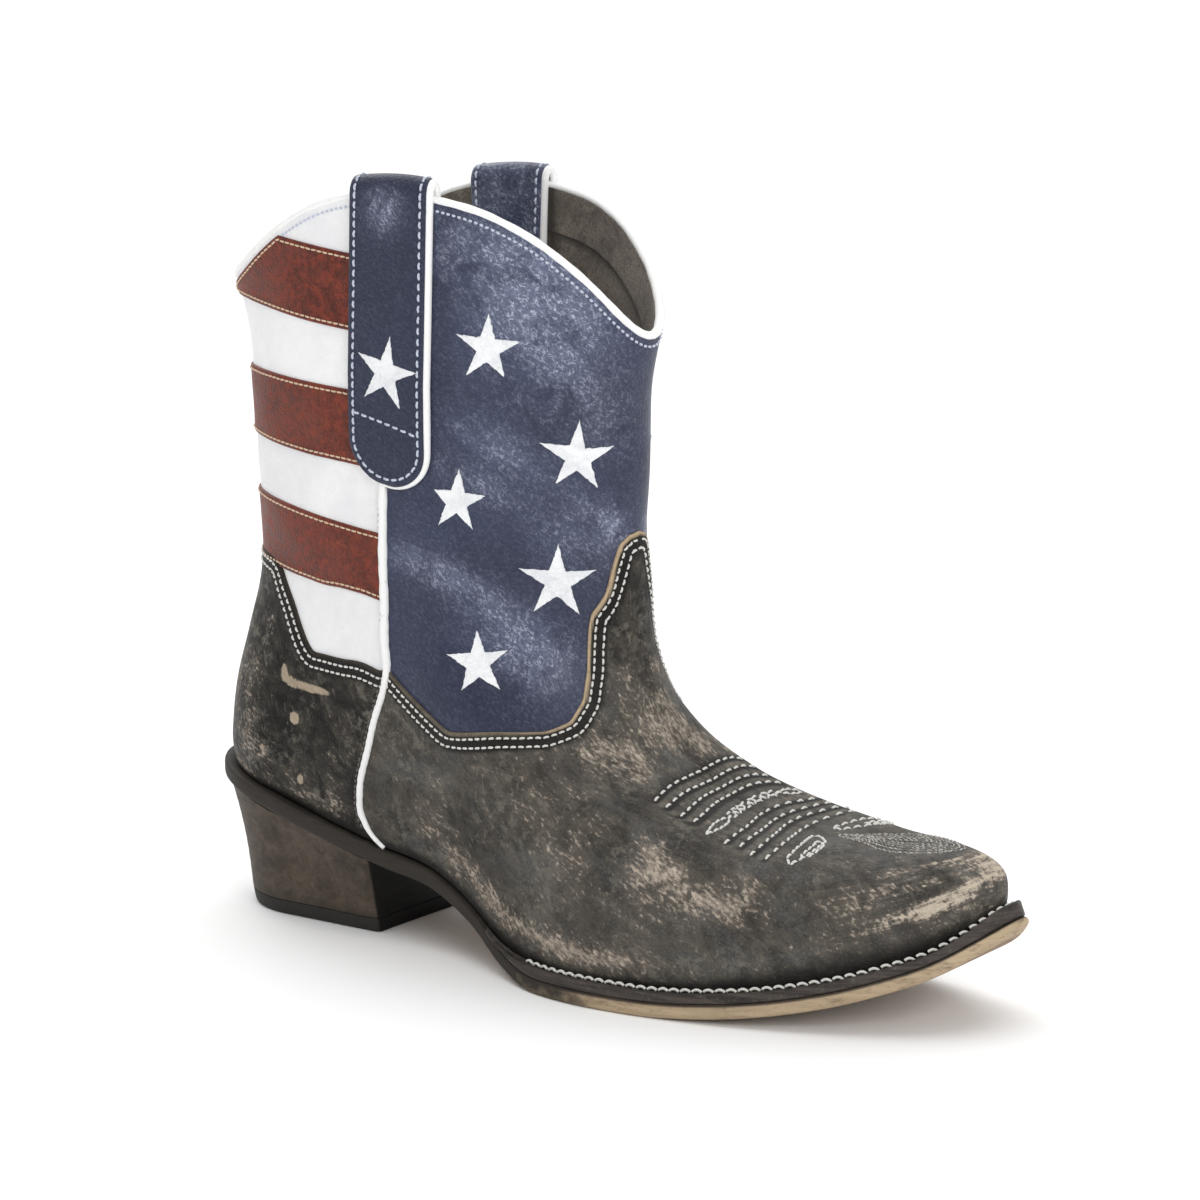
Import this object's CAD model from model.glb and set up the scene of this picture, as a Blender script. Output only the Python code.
import math

import bmesh
import bpy
import numpy as np
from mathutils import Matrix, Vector


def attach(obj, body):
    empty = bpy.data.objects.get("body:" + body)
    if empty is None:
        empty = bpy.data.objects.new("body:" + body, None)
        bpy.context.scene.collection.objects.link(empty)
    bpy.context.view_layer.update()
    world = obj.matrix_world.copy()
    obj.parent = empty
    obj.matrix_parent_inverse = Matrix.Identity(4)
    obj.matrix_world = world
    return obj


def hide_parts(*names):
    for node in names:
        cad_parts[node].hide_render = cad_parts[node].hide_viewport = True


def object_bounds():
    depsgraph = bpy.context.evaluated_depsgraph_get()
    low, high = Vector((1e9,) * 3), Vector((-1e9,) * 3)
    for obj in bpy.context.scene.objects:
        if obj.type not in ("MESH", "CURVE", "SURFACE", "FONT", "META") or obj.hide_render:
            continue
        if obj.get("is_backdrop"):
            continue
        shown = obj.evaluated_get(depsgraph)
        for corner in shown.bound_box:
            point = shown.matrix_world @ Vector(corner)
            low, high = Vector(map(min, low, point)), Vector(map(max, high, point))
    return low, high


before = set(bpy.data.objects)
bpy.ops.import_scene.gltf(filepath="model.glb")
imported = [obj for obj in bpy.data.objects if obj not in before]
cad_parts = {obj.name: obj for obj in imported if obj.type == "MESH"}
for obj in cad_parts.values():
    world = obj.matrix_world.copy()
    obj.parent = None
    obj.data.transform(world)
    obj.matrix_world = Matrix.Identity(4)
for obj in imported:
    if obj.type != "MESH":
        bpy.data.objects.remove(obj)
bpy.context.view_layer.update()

# Outsole: one slab of pressed sole leather cut to the outline of the last, bent up at the toe
# and over the waist. Its edge is trimmed and sanded, left tan at the forefoot and inked dark
# at the waist and heel seat; underneath it has a closed stitch channel.
# the frame's origin in the tables' millimetres, which start at the back of the heel seat
FRAME_ORIGIN, MM = np.array((141.7, -3.9, 0.0)), 0.001
SOLE_HEEL_THICK, SOLE_FORE_THICK = 5.5, 4.8
SOLE_FLAT_FROM, SOLE_FLAT_TO = 150.0, 190.0
TOE_TIP_X, TOE_TIP_LENGTH = 266.0, 16.0
# outline: x, outer edge y, inner edge y
SOLE_EDGE = np.array([
    (-0.6, 0.0, 0.0), (1.6, -12.0, 12.0), (7.0, -20.5, 20.5), (18.0, -28.0, 28.0),
    (35.0, -31.2, 31.2), (60.0, -31.5, 30.5), (80.0, -31.2, 28.5), (100.0, -31.3, 26.0),
    (118.0, -35.0, 27.5), (134.0, -42.0, 33.5), (150.0, -48.6, 40.0), (165.0, -51.0, 43.0),
    (182.0, -50.4, 43.0), (205.0, -46.4, 40.5), (230.0, -38.5, 36.5), (254.0, -27.5, 30.5),
    (270.0, -16.5, 24.5), (278.8, -5.6, 19.2), (282.8, 2.4, 13.8), (283.6, 8.0, 8.0)])
# underside: x, height
SOLE_HEIGHT = np.array([
    (-2.5, 44.4), (20.0, 39.6), (45.0, 32.9), (62.0, 28.4), (78.0, 24.5), (99.0, 20.2),
    (116.0, 12.6), (131.0, 4.6), (142.0, 1.0), (150.0, 0.0), (190.0, 0.0), (205.0, 1.0),
    (230.0, 4.6), (254.0, 11.2), (270.0, 18.0), (283.6, 28.0)])


def hermite(t, a, b, leave, arrive):
    """Cubic from a to b over one step, with the slope on leaving a and on arriving at b."""
    return ((2 * t**3 - 3 * t**2 + 1) * a + (t**3 - 2 * t**2 + t) * leave
            + (3 * t**2 - 2 * t**3) * b + (t**3 - t**2) * arrive)


def slopes(step, ys):
    """Slope at each row of a table, taken from its neighbours."""
    rise = np.diff(ys, axis=0) / step
    slope = np.empty(ys.shape)
    slope[1:-1] = (step[1:] * rise[:-1] + step[:-1] * rise[1:]) / (step[1:] + step[:-1])
    slope[0] = 1.5 * rise[0] - 0.5 * slope[1]
    slope[-1] = 1.5 * rise[-1] - 0.5 * slope[-2]
    return slope


def curve(xs, ys, x):
    """Smooth curve through a table column."""
    xs, ys, x = (np.asarray(q, float) for q in (xs, ys, x))
    step = np.diff(xs)
    slope = slopes(step, ys)
    x = np.clip(x, xs[0], xs[-1])
    k = np.clip(np.searchsorted(xs, x, side="right") - 1, 0, len(xs) - 2)
    return hermite((x - xs[k]) / step[k], ys[k], ys[k + 1], step[k] * slope[k], step[k] * slope[k + 1])


def smooth(x, low, high):
    t = np.clip((np.asarray(x, float) - low) / (high - low), 0, 1)
    return t * t * (3 - 2 * t)


def unit(run):
    """The same directions with length one."""
    return run / np.linalg.norm(run, axis=-1, keepdims=True)


def run_length(line):
    """Distance along a line from its start to each of its points."""
    return np.concatenate([[0], np.cumsum(np.linalg.norm(np.diff(line, axis=0), axis=1))])


def sole_bottom(x):
    flat = (x > SOLE_FLAT_FROM) & (x < SOLE_FLAT_TO)
    return np.where(flat, 0.0, np.clip(curve(*SOLE_HEIGHT.T, x), 0.0, None))


def sole_top(x):
    thick = np.interp(x, (0.0, 80.0, 130.0), (SOLE_HEEL_THICK, SOLE_HEEL_THICK, SOLE_FORE_THICK))
    return sole_bottom(x) + thick


def at_tip(x):
    """How far a point lies into the tip of the toe, from 0 to 1."""
    return np.clip((x - TOE_TIP_X) / TOE_TIP_LENGTH, 0, 1)**2


def closed_outline(count):
    """Outsole outline as one closed smooth loop, outer side first."""
    loop = np.concatenate([SOLE_EDGE[:, :2], SOLE_EDGE[-2:0:-1, (0, 2)]])
    back, ahead = np.roll(loop, 1, 0), np.roll(loop, -1, 0)
    chord = np.linalg.norm(ahead - loop, axis=1)
    before = np.roll(chord, 1)
    tangent = ((ahead - loop) / chord[:, None] * before[:, None]
               + (loop - back) / before[:, None] * chord[:, None]) / (chord + before)[:, None]
    points = []
    for i in range(len(loop)):
        j = (i + 1) % len(loop)
        for t in np.arange(count) / count:
            points.append(hermite(t, loop[i], loop[j], chord[i] * tangent[i], chord[i] * tangent[j]))
    return np.array(points)


def evenly(line, count, closed=False):
    """The same line with its points set at even distances."""
    line = np.concatenate([line, line[:1]]) if closed else line
    far = run_length(line)
    at = np.linspace(0, far[-1], count + 1)[:-1] if closed else np.linspace(0, far[-1], count)
    return np.stack([np.interp(at, far, line[:, k]) for k in range(line.shape[1])], -1)


def piece(name, points, faces, finish, uv=None, weld=0.0, sharp=38.0, **marks):
    """Mesh object from points in millimetres, with values painted per point, riding on the boot."""
    mesh = bpy.data.meshes.new(name)
    mesh.from_pydata(((np.asarray(points) - FRAME_ORIGIN) * MM).tolist(), [], faces)
    for label, value in marks.items():
        layer = mesh.attributes.new(label, "FLOAT", "POINT")
        layer.data.foreach_set("value", np.broadcast_to(value, len(points)).astype(np.float32))
    if uv is not None:
        corner = np.empty(len(mesh.loops), np.int32)
        mesh.loops.foreach_get("vertex_index", corner)
        layer = mesh.uv_layers.new(name="lay")
        layer.data.foreach_set("uv", np.asarray(uv)[corner].ravel().astype(np.float32))
    work = bmesh.new()
    work.from_mesh(mesh)
    if weld:
        bmesh.ops.remove_doubles(work, verts=work.verts, dist=weld * MM)
    bmesh.ops.recalc_face_normals(work, faces=work.faces)
    work.to_mesh(mesh)
    work.free()
    mesh.polygons.foreach_set("use_smooth", np.ones(len(mesh.polygons), bool))
    mesh.set_sharp_from_angle(angle=math.radians(sharp))
    mesh.materials.append(finish)
    body = bpy.data.objects.new(name, mesh)
    bpy.context.collection.objects.link(body)
    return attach(body, "root")


def grid_faces(rows, cols, wrap, first=0):
    i, j = np.meshgrid(np.arange(rows - 1), np.arange(cols if wrap else cols - 1), indexing="ij")
    n = (j + 1) % cols
    quad = np.stack([i * cols + j, i * cols + n, (i + 1) * cols + n, (i + 1) * cols + j], -1)
    return (quad.reshape(-1, 4) + first).tolist()


def loft(name, rings, finish, closed=False, caps=True, **more):
    """Skin over a run of closed rings, the ends capped unless the run itself is closed."""
    rows, cols = rings.shape[:2]
    points = np.concatenate([rings, rings[:1]]) if closed else rings
    faces = grid_faces(len(points), cols, True)
    if closed:
        faces = [[k % (rows * cols) for k in face] for face in faces]
    elif caps:
        faces += [list(range(cols)), list(range((rows - 1) * cols, rows * cols))]
    return piece(name, rings.reshape(-1, 3), faces, finish, **more)


def tone(r, g, b):
    """Screen colour from 0 to 255 as the linear colour that a shader takes."""
    return tuple(((c / 255 + 0.055) / 1.055)**2.4 for c in (r, g, b)) + (1.0,)


def wire(tree, kind, pick=0, props=None, **inputs):
    """Adds a node, sets or links its inputs by name or number, and gives back one output."""
    made = tree.nodes.new(kind)
    for key, value in (props or {}).items():
        setattr(made, key, value)
    for key, value in inputs.items():
        entry = made.inputs[int(key[1:])] if key[1:].isdigit() else made.inputs[key.replace("_", " ")]
        if isinstance(value, bpy.types.NodeSocket):
            tree.links.new(value, entry)
        else:
            entry.default_value = value
    return made.outputs[pick]


def maths(tree, what, a, b=0.5, c=0.5):
    return wire(tree, "ShaderNodeMath", props={"operation": what}, i0=a, i1=b, i2=c)


def times(tree, a, b, plus=None):
    """Product of two values, with a third added where one is given."""
    return maths(tree, "MULTIPLY", a, b) if plus is None else maths(tree, "MULTIPLY_ADD", a, b, plus)


def mixed(tree, share, a, b):
    """Mix of two colours by a share, each a socket or a screen colour."""
    a, b = (c if isinstance(c, bpy.types.NodeSocket) else tone(*c) for c in (a, b))
    return wire(tree, "ShaderNodeMix", 2, {"data_type": "RGBA"}, i0=share, i6=a, i7=b)


def layered(tree, colour, *coats):
    """Colour under a run of coats, each a share and a screen colour."""
    for share, coat in coats:
        colour = mixed(tree, share, colour, coat)
    return colour


def ramp(tree, value, low, high, to_low=0.0, to_high=1.0):
    return wire(tree, "ShaderNodeMapRange", props={"interpolation_type": "SMOOTHSTEP"}, Value=value,
                From_Min=low, From_Max=high, To_Min=to_low, To_Max=to_high)


def noise(tree, where, scale, detail=4.0, rough=0.6, warp=0.0):
    return wire(tree, "ShaderNodeTexNoise", Vector=where, Scale=scale, Detail=detail, Roughness=rough,
                Distortion=warp)


def stretched(tree, where, x, y, z):
    return wire(tree, "ShaderNodeMapping", Vector=where, Scale=(x, y, z))


def mark(tree, label):
    return wire(tree, "ShaderNodeAttribute", 2, {"attribute_name": label})


def bump(tree, height, strength, depth):
    return wire(tree, "ShaderNodeBump", Strength=strength, Distance=depth, Height=height)


def finish_of(name, **fixed):
    """New material with fixed values on its shader: material, tree, shader, and place on the object."""
    made = bpy.data.materials.new(name)
    made.use_nodes = True
    shader = made.node_tree.nodes["Principled BSDF"]
    for key, value in fixed.items():
        shader.inputs[key.replace("_", " ")].default_value = value
    return made, made.node_tree, shader, wire(made.node_tree, "ShaderNodeTexCoord", 3)


def feed(tree, shader, **inputs):
    for key, value in inputs.items():
        tree.links.new(value, shader.inputs[key.replace("_", " ")])


def effect(name, inputs, outputs):
    """Empty shader group with named sockets, for an effect that several finishes share."""
    tree = bpy.data.node_groups.new(name, "ShaderNodeTree")
    for label, kind in inputs:
        tree.interface.new_socket(label, in_out="INPUT", socket_type="NodeSocket" + kind)
    for label in outputs:
        tree.interface.new_socket(label, in_out="OUTPUT", socket_type="NodeSocketFloat")
    return tree, tree.nodes.new("NodeGroupInput").outputs, tree.nodes.new("NodeGroupOutput").inputs


def shared(tree, group, pick, **inputs):
    return wire(tree, "ShaderNodeGroup", pick, {"node_tree": group}, **inputs)


# slow change of shade over a hide, in two sizes
drift_group, given, result = effect("shade_drift", (("Where", "Vector"), ("Size", "Float")), ("Drift",))
broad = noise(drift_group, given["Where"], given["Size"], 3.0, 0.55, 0.6)
close = noise(drift_group, given["Where"], times(drift_group, given["Size"], 7.0), 5.0, 0.65)
both = times(drift_group, broad, 0.65, times(drift_group, close, 0.35))
drift_group.links.new(ramp(drift_group, both, 0.32, 0.68), result["Drift"])

sole_leather, tree, shader, at = finish_of("sole_leather_edge", Specular_IOR_Level=0.2)
fibre = noise(tree, stretched(tree, at, 60.0, 60.0, 900.0), 1.0, 5.0, 0.7)
drift = shared(tree, drift_group, 0, Where=at, Size=40.0)
dirt = noise(tree, stretched(tree, at, 140.0, 140.0, 420.0), 1.0, 7.0, 0.78)
tan = layered(
    tree, mixed(tree, fibre, (142, 122, 98), (208, 187, 155)),
    (times(tree, drift, 0.25), (128, 110, 92)),
    (ramp(tree, dirt, 0.50, 0.66, 0.0, 0.6), (96, 82, 68)))
ink = mixed(tree, fibre, (28, 26, 24), (66, 60, 54))
inked = ramp(tree, times(tree, drift, 0.25, mark(tree, "front")), 0.22, 0.58)
stained = ramp(tree, times(tree, fibre, 0.14, mark(tree, "rise")), 0.80, 0.96)
stain = mixed(tree, fibre, (46, 40, 36), (84, 74, 65))
edge_colour = mixed(tree, inked, ink, mixed(tree, stained, tan, stain))
ground = mixed(tree, noise(tree, at, 55.0, 8.0, 0.7, 1.0), (122, 100, 78), (170, 144, 114))
scuffed = ramp(tree, noise(tree, stretched(tree, at, 30.0, 260.0, 30.0), 1.0, 6.0, 0.7), 0.5, 0.66)
ground = mixed(tree, times(tree, scuffed, 0.6), ground, (84, 70, 56))
feed(tree, shader, Base_Color=mixed(tree, mark(tree, "under"), edge_colour, ground),
     Roughness=ramp(tree, fibre, 0.2, 0.8, 0.5, 0.75), Normal=bump(tree, fibre, 0.35, 0.0004))

outline = evenly(closed_outline(24), 520, True)
ahead = np.roll(outline, -1, 0) - np.roll(outline, 1, 0)
inward = unit(np.stack([-ahead[:, 1], ahead[:, 0]], -1))
centre = 0.5 * sum(np.interp(outline[:, 0], SOLE_EDGE[:, 0], SOLE_EDGE[:, k]) for k in (1, 2))
midline = np.stack([np.clip(outline[:, 0], 16.0, 262.0), centre], -1)
rings, under, rise = [], [], []
tip = at_tip(outline[:, 0])
# section of the slab, under face first: share towards the middle, millimetres in from the edge, height
# step, from the top or not, millimetres more in at the worn tip
SOLE_SECTION = (
    (1.0, 0, 0, 0, 0), (0.8, 0, 0, 0, 0), (0.6, 0, 0, 0, 0), (0.4, 0, 0, 0, 0), (0.25, 0, 0, 0, 0),
    (0, 6.2, 0, 0, 0), (0, 5.6, 0.1, 0, 0), (0, 5.3, 0.45, 0, 0), (0, 5.0, 0.1, 0, 0), (0, 4.4, 0, 0, 0.2),
    (0, 2.6, 0, 0, 1.0), (0, 1.2, 0.05, 0, 1.5), (0, 0.6, 0.25, 0, 1.4), (0, 0.22, 0.65, 0, 1.0),
    (0, 0.05, 1.2, 0, 0.55), (0, 0.0, 2.0, 0, 0.1), (0, 0.0, -1.6, 1, 0.3), (0, 0.06, -0.9, 1, 0.7),
    (0, 0.3, -0.35, 1, 1.0), (0, 0.8, -0.06, 1, 1.2), (0, 2.4, 0, 1, 0.6), (0, 6.0, 0, 1, 0),
    (0.25, 0, 0, 1, 0), (0.6, 0, 0, 1, 0), (1.0, 0, 0, 1, 0))
for share, inset_by, lift, top, worn_by in SOLE_SECTION:
    plan = outline + inward * (inset_by + worn_by * tip)[:, None]
    plan = plan + (midline - plan) * share
    level = sole_top(plan[:, 0]) if top else sole_bottom(plan[:, 0])
    rings.append(np.concatenate([plan, (level + lift)[:, None]], 1))
    under.append(np.full(len(plan), 1.0 if not top and (share or inset_by > 0.7) else 0.0))
    rise.append(np.full(len(plan), top + lift / SOLE_FORE_THICK))
rings = np.array(rings)
outsole = loft("outsole_leather", rings, sole_leather, caps=False, weld=0.02,
               front=smooth(rings[..., 0].ravel(), 118.0, 250.0), under=np.concatenate(under),
               rise=np.concatenate(rise))
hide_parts("outsole")

# Heel stack: lifts of leather board glued and nailed under the seat, shaped in one go with a
# round back and a straight breast, then stained brown, with the breast face inked black.
HEEL_TOP = {"back": 0.6, "front": 73.5, "half": 30.4, "round": 34.0}
HEEL_BASE = {"back": 8.2, "front": 72.0, "half": 22.6, "round": 26.0}
HEEL_CAP_THICK, LIFT_THICK, HEEL_CORNER = 5.0, 4.1, 1.2
HEEL_MIDDLE = np.array((44.0, 0.0))


def heel_loop(form):
    """Closed outline of the heel at one level: outer side, breast, inner side."""
    count, breast = 70, 26
    share = np.sin(0.5 * np.pi * np.linspace(0, 1, count))**2
    x = form["back"] + (form["front"] - form["back"]) * share
    curl = np.clip(1 - (x - form["back"]) / form["round"], 0, 1)
    y = form["half"] * np.sqrt(np.clip(1 - curl**2, 0, 1))
    corner = HEEL_CORNER * np.clip(1 - (form["front"] - x) / (2 * HEEL_CORNER), 0, 1)**2
    front = np.linspace(-1, 1, breast + 2)[1:-1] * (form["half"] - HEEL_CORNER)
    return np.concatenate([np.stack([x, corner - y], -1),
                           np.stack([np.full(breast, form["front"]), front], -1),
                           np.stack([x, y - corner], -1)[:0:-1]])


def heel_ring(z, bite):
    """One ring of the heel at its heights z, drawn in towards the middle by a bite in millimetres."""
    plan = loop_top + (loop_base - loop_top) * ((seat - z) / seat)[:, None]
    return np.concatenate([plan + unit(HEEL_MIDDLE - plan) * bite[:, None], z[:, None]], 1)


loop_top, loop_base = heel_loop(HEEL_TOP), heel_loop(HEEL_BASE)
seat = sole_bottom(loop_top[:, 0]) - 0.1
breast_mark = smooth(loop_top[:, 0], 72.6, 73.3)
levels = np.linspace(0, 1, 58)
rings = []
for level in levels:
    z = seat + (HEEL_CAP_THICK + 0.15 - seat) * level
    joint = np.minimum((z - HEEL_CAP_THICK) % LIFT_THICK, -(z - HEEL_CAP_THICK) % LIFT_THICK)
    groove = 0.09 * np.exp(-(joint / 0.35)**2) * smooth(level, 0.0, 0.05)
    waist = np.sin(np.pi * level) * (1 - breast_mark)
    rings.append(heel_ring(z, groove + waist))
rings = np.array(rings)
stack_leather, tree, shader, at = finish_of("heel_stack_leather", Specular_IOR_Level=0.18)
layers = noise(tree, stretched(tree, at, 60.0, 60.0, 900.0), 1.0, 7.0, 0.75)
blot = noise(tree, at, 150.0, 8.0, 0.74, 0.5)
drift = shared(tree, drift_group, 0, Where=at, Size=50.0)
grit = noise(tree, at, 700.0, 4.0, 0.75)
brown = layered(
    tree, mixed(tree, ramp(tree, blot, 0.36, 0.64), (54, 47, 40), (86, 76, 65)),
    (ramp(tree, layers, 0.35, 0.65, 0.0, 0.35), (72, 63, 54)),
    (times(tree, drift, 0.3), (84, 73, 62)),
    (ramp(tree, grit, 0.55, 0.75, 0.0, 0.3), (118, 104, 88)),
    (ramp(tree, mark(tree, "down"), 0.85, 1.02, 0.0, 0.5), (50, 45, 42)))
black = mixed(tree, layers, (5, 5, 5), (14, 13, 12))
feed(tree, shader, Base_Color=mixed(tree, mark(tree, "breast"), brown, black),
     Roughness=ramp(tree, layers, 0.2, 0.8, 0.5, 0.68), Normal=bump(tree, blot, 0.25, 0.0003))
heel_stack = loft("heel_stack_lifts", rings, stack_leather, breast=np.tile(breast_mark, len(levels)),
                  down=np.repeat(levels, len(seat)))
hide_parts("heel_stack")

# Heel cap: the wearing piece of hard rubber nailed under the stack, trimmed flush with it,
# its ground edge worn slightly round.
rubber, tree, shader, at = finish_of("heel_cap_rubber", Specular_IOR_Level=0.2)
grit = noise(tree, at, 900.0, 4.0, 0.7)
drift = shared(tree, drift_group, 0, Where=at, Size=60.0)
grey = mixed(tree, grit, (32, 31, 30), (50, 48, 46))
grey = mixed(tree, times(tree, drift, 0.3), grey, (60, 57, 54))
feed(tree, shader, Base_Color=mixed(tree, mark(tree, "breast"), grey, (7, 7, 7)),
     Roughness=ramp(tree, grit, 0.3, 0.7, 0.55, 0.75), Normal=bump(tree, grit, 0.25, 0.0003))
# height and bite of each ring from the top down
CAP_SECTION = ((HEEL_CAP_THICK, 0.5), (HEEL_CAP_THICK - 0.12, 0.12), (HEEL_CAP_THICK - 0.5, 0.0), (3.4, 0.0),
               (2.2, 0.0), (1.2, 0.05), (0.6, 0.2), (0.2, 0.55), (0.0, 1.1), (0.0, 6.0))
rings = np.array([heel_ring(np.full(len(seat), z), np.full(len(seat), bite)) for z, bite in CAP_SECTION])
heel_cap = loft("heel_cap_rubber", rings, rubber, breast=np.tile(breast_mark, len(rings)))
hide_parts("heel_cap")

# Lining: soft napped hide the colour of dry earth, sewn to the inside of the upper, with a
# second band, the facing, round the mouth and a seam at its lower edge.
WALL, FACING_DROP, FACING_THICK = 2.2, 15.0, 0.55
LINING_TUCK = 0.35
# dark join in the facing, its distance from the back of the heel
FACING_JOIN_X = 100.0
# back seam and front ridge by height share v: v, back x, back z, front x, front z, ridge y
PROFILE = np.array([
    (0.00, 4.0, 49.0, 274.6, 27.4, 8.0), (0.07, 3.3, 55.5, 276.4, 40.0, 8.0),
    (0.14, 3.7, 62.0, 273.6, 45.6, 8.0), (0.24, 5.1, 72.0, 260.0, 48.8, 8.0),
    (0.34, 7.1, 82.0, 238.4, 47.6, 7.0), (0.44, 10.2, 93.5, 212.4, 47.6, 5.5),
    (0.54, 14.0, 107.0, 185.2, 55.6, 4.0), (0.64, 16.0, 120.0, 164.4, 72.8, 3.0),
    (0.72, 15.8, 133.0, 156.2, 92.4, 2.0), (0.80, 15.5, 150.0, 154.5, 118.5, 1.0),
    (0.87, 15.7, 167.0, 154.5, 144.0, 0.5), (0.94, 14.0, 187.0, 156.2, 172.0, 0.0),
    (1.00, 8.8, 203.0, 160.5, 193.5, 0.0)])
# lower edge of the upper by length share s: s, x
FEATHER_X = np.array([
    (0.00, 4.0), (0.10, 30.0), (0.20, 57.0), (0.28, 78.0), (0.36, 99.0), (0.42, 116.0), (0.48, 132.0),
    (0.55, 151.0), (0.65, 178.0), (0.75, 206.0), (0.85, 234.0), (0.93, 255.5), (1.00, 274.6)])
# scalloped collar: s, x, z
COLLAR = np.array([
    (0.00, 8.8, 203.0), (0.06, 13.0, 205.0), (0.14, 23.0, 210.6), (0.28, 43.5, 223.0),
    (0.42, 64.0, 231.6), (0.55, 86.0, 234.5), (0.68, 106.0, 233.0), (0.79, 124.0, 228.0),
    (0.88, 139.0, 219.0), (0.94, 150.0, 208.5), (1.00, 160.5, 193.5)])
# half widths at the stations s, a row per height share v
STATIONS = np.array((0.0, 0.10, 0.25, 0.38, 0.48, 0.57, 0.66, 0.80, 0.92, 1.0))
OUTER_HALF = np.array([
    (0.00, 27.6, 27.6, 28.6, 29.2, 36.5, 43.7, 45.2, 40.0, 28.3, 13.0),
    (0.08, 28.8, 29.0, 30.0, 30.8, 37.5, 44.7, 46.5, 41.5, 29.5, 14.0),
    (0.16, 28.8, 29.6, 31.0, 32.5, 38.0, 44.7, 46.5, 42.0, 30.0, 17.0),
    (0.28, 28.0, 29.0, 31.0, 33.5, 37.5, 43.0, 45.0, 42.0, 33.0, 25.0),
    (0.42, 26.0, 27.0, 30.0, 33.0, 36.5, 40.0, 42.0, 40.0, 35.0, 30.0),
    (0.56, 25.0, 26.0, 29.0, 32.5, 35.0, 36.5, 37.0, 36.0, 33.0, 31.0),
    (0.70, 27.0, 28.0, 30.0, 32.0, 33.0, 33.5, 33.5, 33.0, 32.0, 31.0),
    (0.85, 31.0, 31.5, 32.5, 33.0, 33.0, 33.0, 33.0, 33.0, 32.0, 31.0),
    (1.00, 33.0, 33.5, 34.0, 34.0, 34.0, 34.0, 34.0, 34.0, 33.0, 32.0)])
INNER_HALF = np.array([
    (0.00, 27.6, 27.6, 26.8, 23.2, 28.0, 34.7, 35.7, 27.4, 17.0, 10.0),
    (0.08, 28.8, 29.0, 28.4, 25.5, 29.0, 35.7, 37.0, 29.0, 18.0, 11.0),
    (0.16, 28.8, 29.6, 30.0, 28.0, 31.0, 36.0, 37.5, 30.0, 19.5, 13.0),
    (0.28, 28.0, 29.0, 30.5, 30.0, 32.5, 36.0, 37.0, 32.0, 24.0, 19.0),
    (0.42, 26.0, 27.0, 29.5, 31.0, 33.0, 35.0, 35.5, 33.0, 28.0, 25.0),
    (0.56, 25.0, 26.0, 29.0, 31.0, 33.0, 34.0, 34.0, 33.0, 30.0, 28.0),
    (0.70, 27.0, 28.0, 30.0, 31.5, 32.5, 33.0, 33.0, 32.0, 31.0, 30.0),
    (0.85, 31.0, 31.5, 32.5, 33.0, 33.0, 33.0, 33.0, 33.0, 32.0, 31.0),
    (1.00, 33.0, 33.5, 34.0, 34.0, 34.0, 34.0, 34.0, 34.0, 33.0, 32.0)])
# rounding at the back and front: v, back length, front length, back power, front power
ROUND = np.array([
    (0.00, 0.115, 0.050, 2.0, 2.3), (0.08, 0.115, 0.060, 2.0, 2.2), (0.16, 0.120, 0.110, 2.0, 2.0),
    (0.28, 0.135, 0.230, 2.0, 2.0), (0.42, 0.170, 0.330, 2.0, 2.0), (0.56, 0.250, 0.400, 2.0, 2.0),
    (0.70, 0.360, 0.420, 2.0, 2.0), (0.85, 0.430, 0.430, 2.1, 2.1), (1.00, 0.450, 0.450, 2.1, 2.1)])
FEATHER_Z = sole_top(FEATHER_X[:, 1]) + 0.6
PROFILE[0, 2], PROFILE[0, 4] = FEATHER_Z[0], FEATHER_Z[-1]


def u_of(s):
    return np.arccos(np.clip(1 - 2 * np.asarray(s, float), -1, 1)) / np.pi


def wrapped(u):
    """The same place round the upper with u from -1 to 1."""
    return (np.asarray(u, float) + 1.0) % 2.0 - 1.0


def s_of(u):
    return 0.5 - 0.5 * np.cos(np.pi * np.abs(wrapped(u)))


def side_view(s, v):
    """Side view of the upper as a patch between sole, collar, back seam and front ridge."""
    out = []
    for foot, k in ((FEATHER_X[:, 1], 1), (FEATHER_Z, 2)):
        low, top = curve(FEATHER_X[:, 0], foot, s), curve(COLLAR[:, 0], COLLAR[:, k], s)
        back, front = curve(PROFILE[:, 0], PROFILE[:, k], v), curve(PROFILE[:, 0], PROFILE[:, k + 2], v)
        out.append((1 - v) * low + v * top + (1 - s) * back + s * front
                   - (1 - v) * ((1 - s) * foot[0] + s * foot[-1])
                   - v * ((1 - s) * COLLAR[0, k] + s * COLLAR[-1, k]))
    return out


def half_width(table, s, v):
    """Half width of the last on one side, rounded off at the back and the front."""
    cols = np.array([curve(table[:, 0], table[:, k + 1], v) for k in range(len(STATIONS))])
    gap = np.diff(STATIONS)
    slope = slopes(gap[:, None], cols)
    k = np.clip(np.searchsorted(STATIONS, s, side="right") - 1, 0, len(STATIONS) - 2)
    i = np.arange(len(s))
    t = (s - STATIONS[k]) / gap[k]
    wide = hermite(t, cols[k, i], cols[k + 1, i], gap[k] * slope[k, i], gap[k] * slope[k + 1, i])
    back, front, back_pow, front_pow = (curve(ROUND[:, 0], ROUND[:, q], v) for q in (1, 2, 3, 4))
    near_back = np.clip(1 - s / back, 0, 1)
    near_front = np.clip(1 - (1 - s) / front, 0, 1)
    return (wide * np.clip(1 - near_back**back_pow, 0, 1)**(1 / back_pow)
            * np.clip(1 - near_front**front_pow, 0, 1)**(1 / front_pow))


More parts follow.
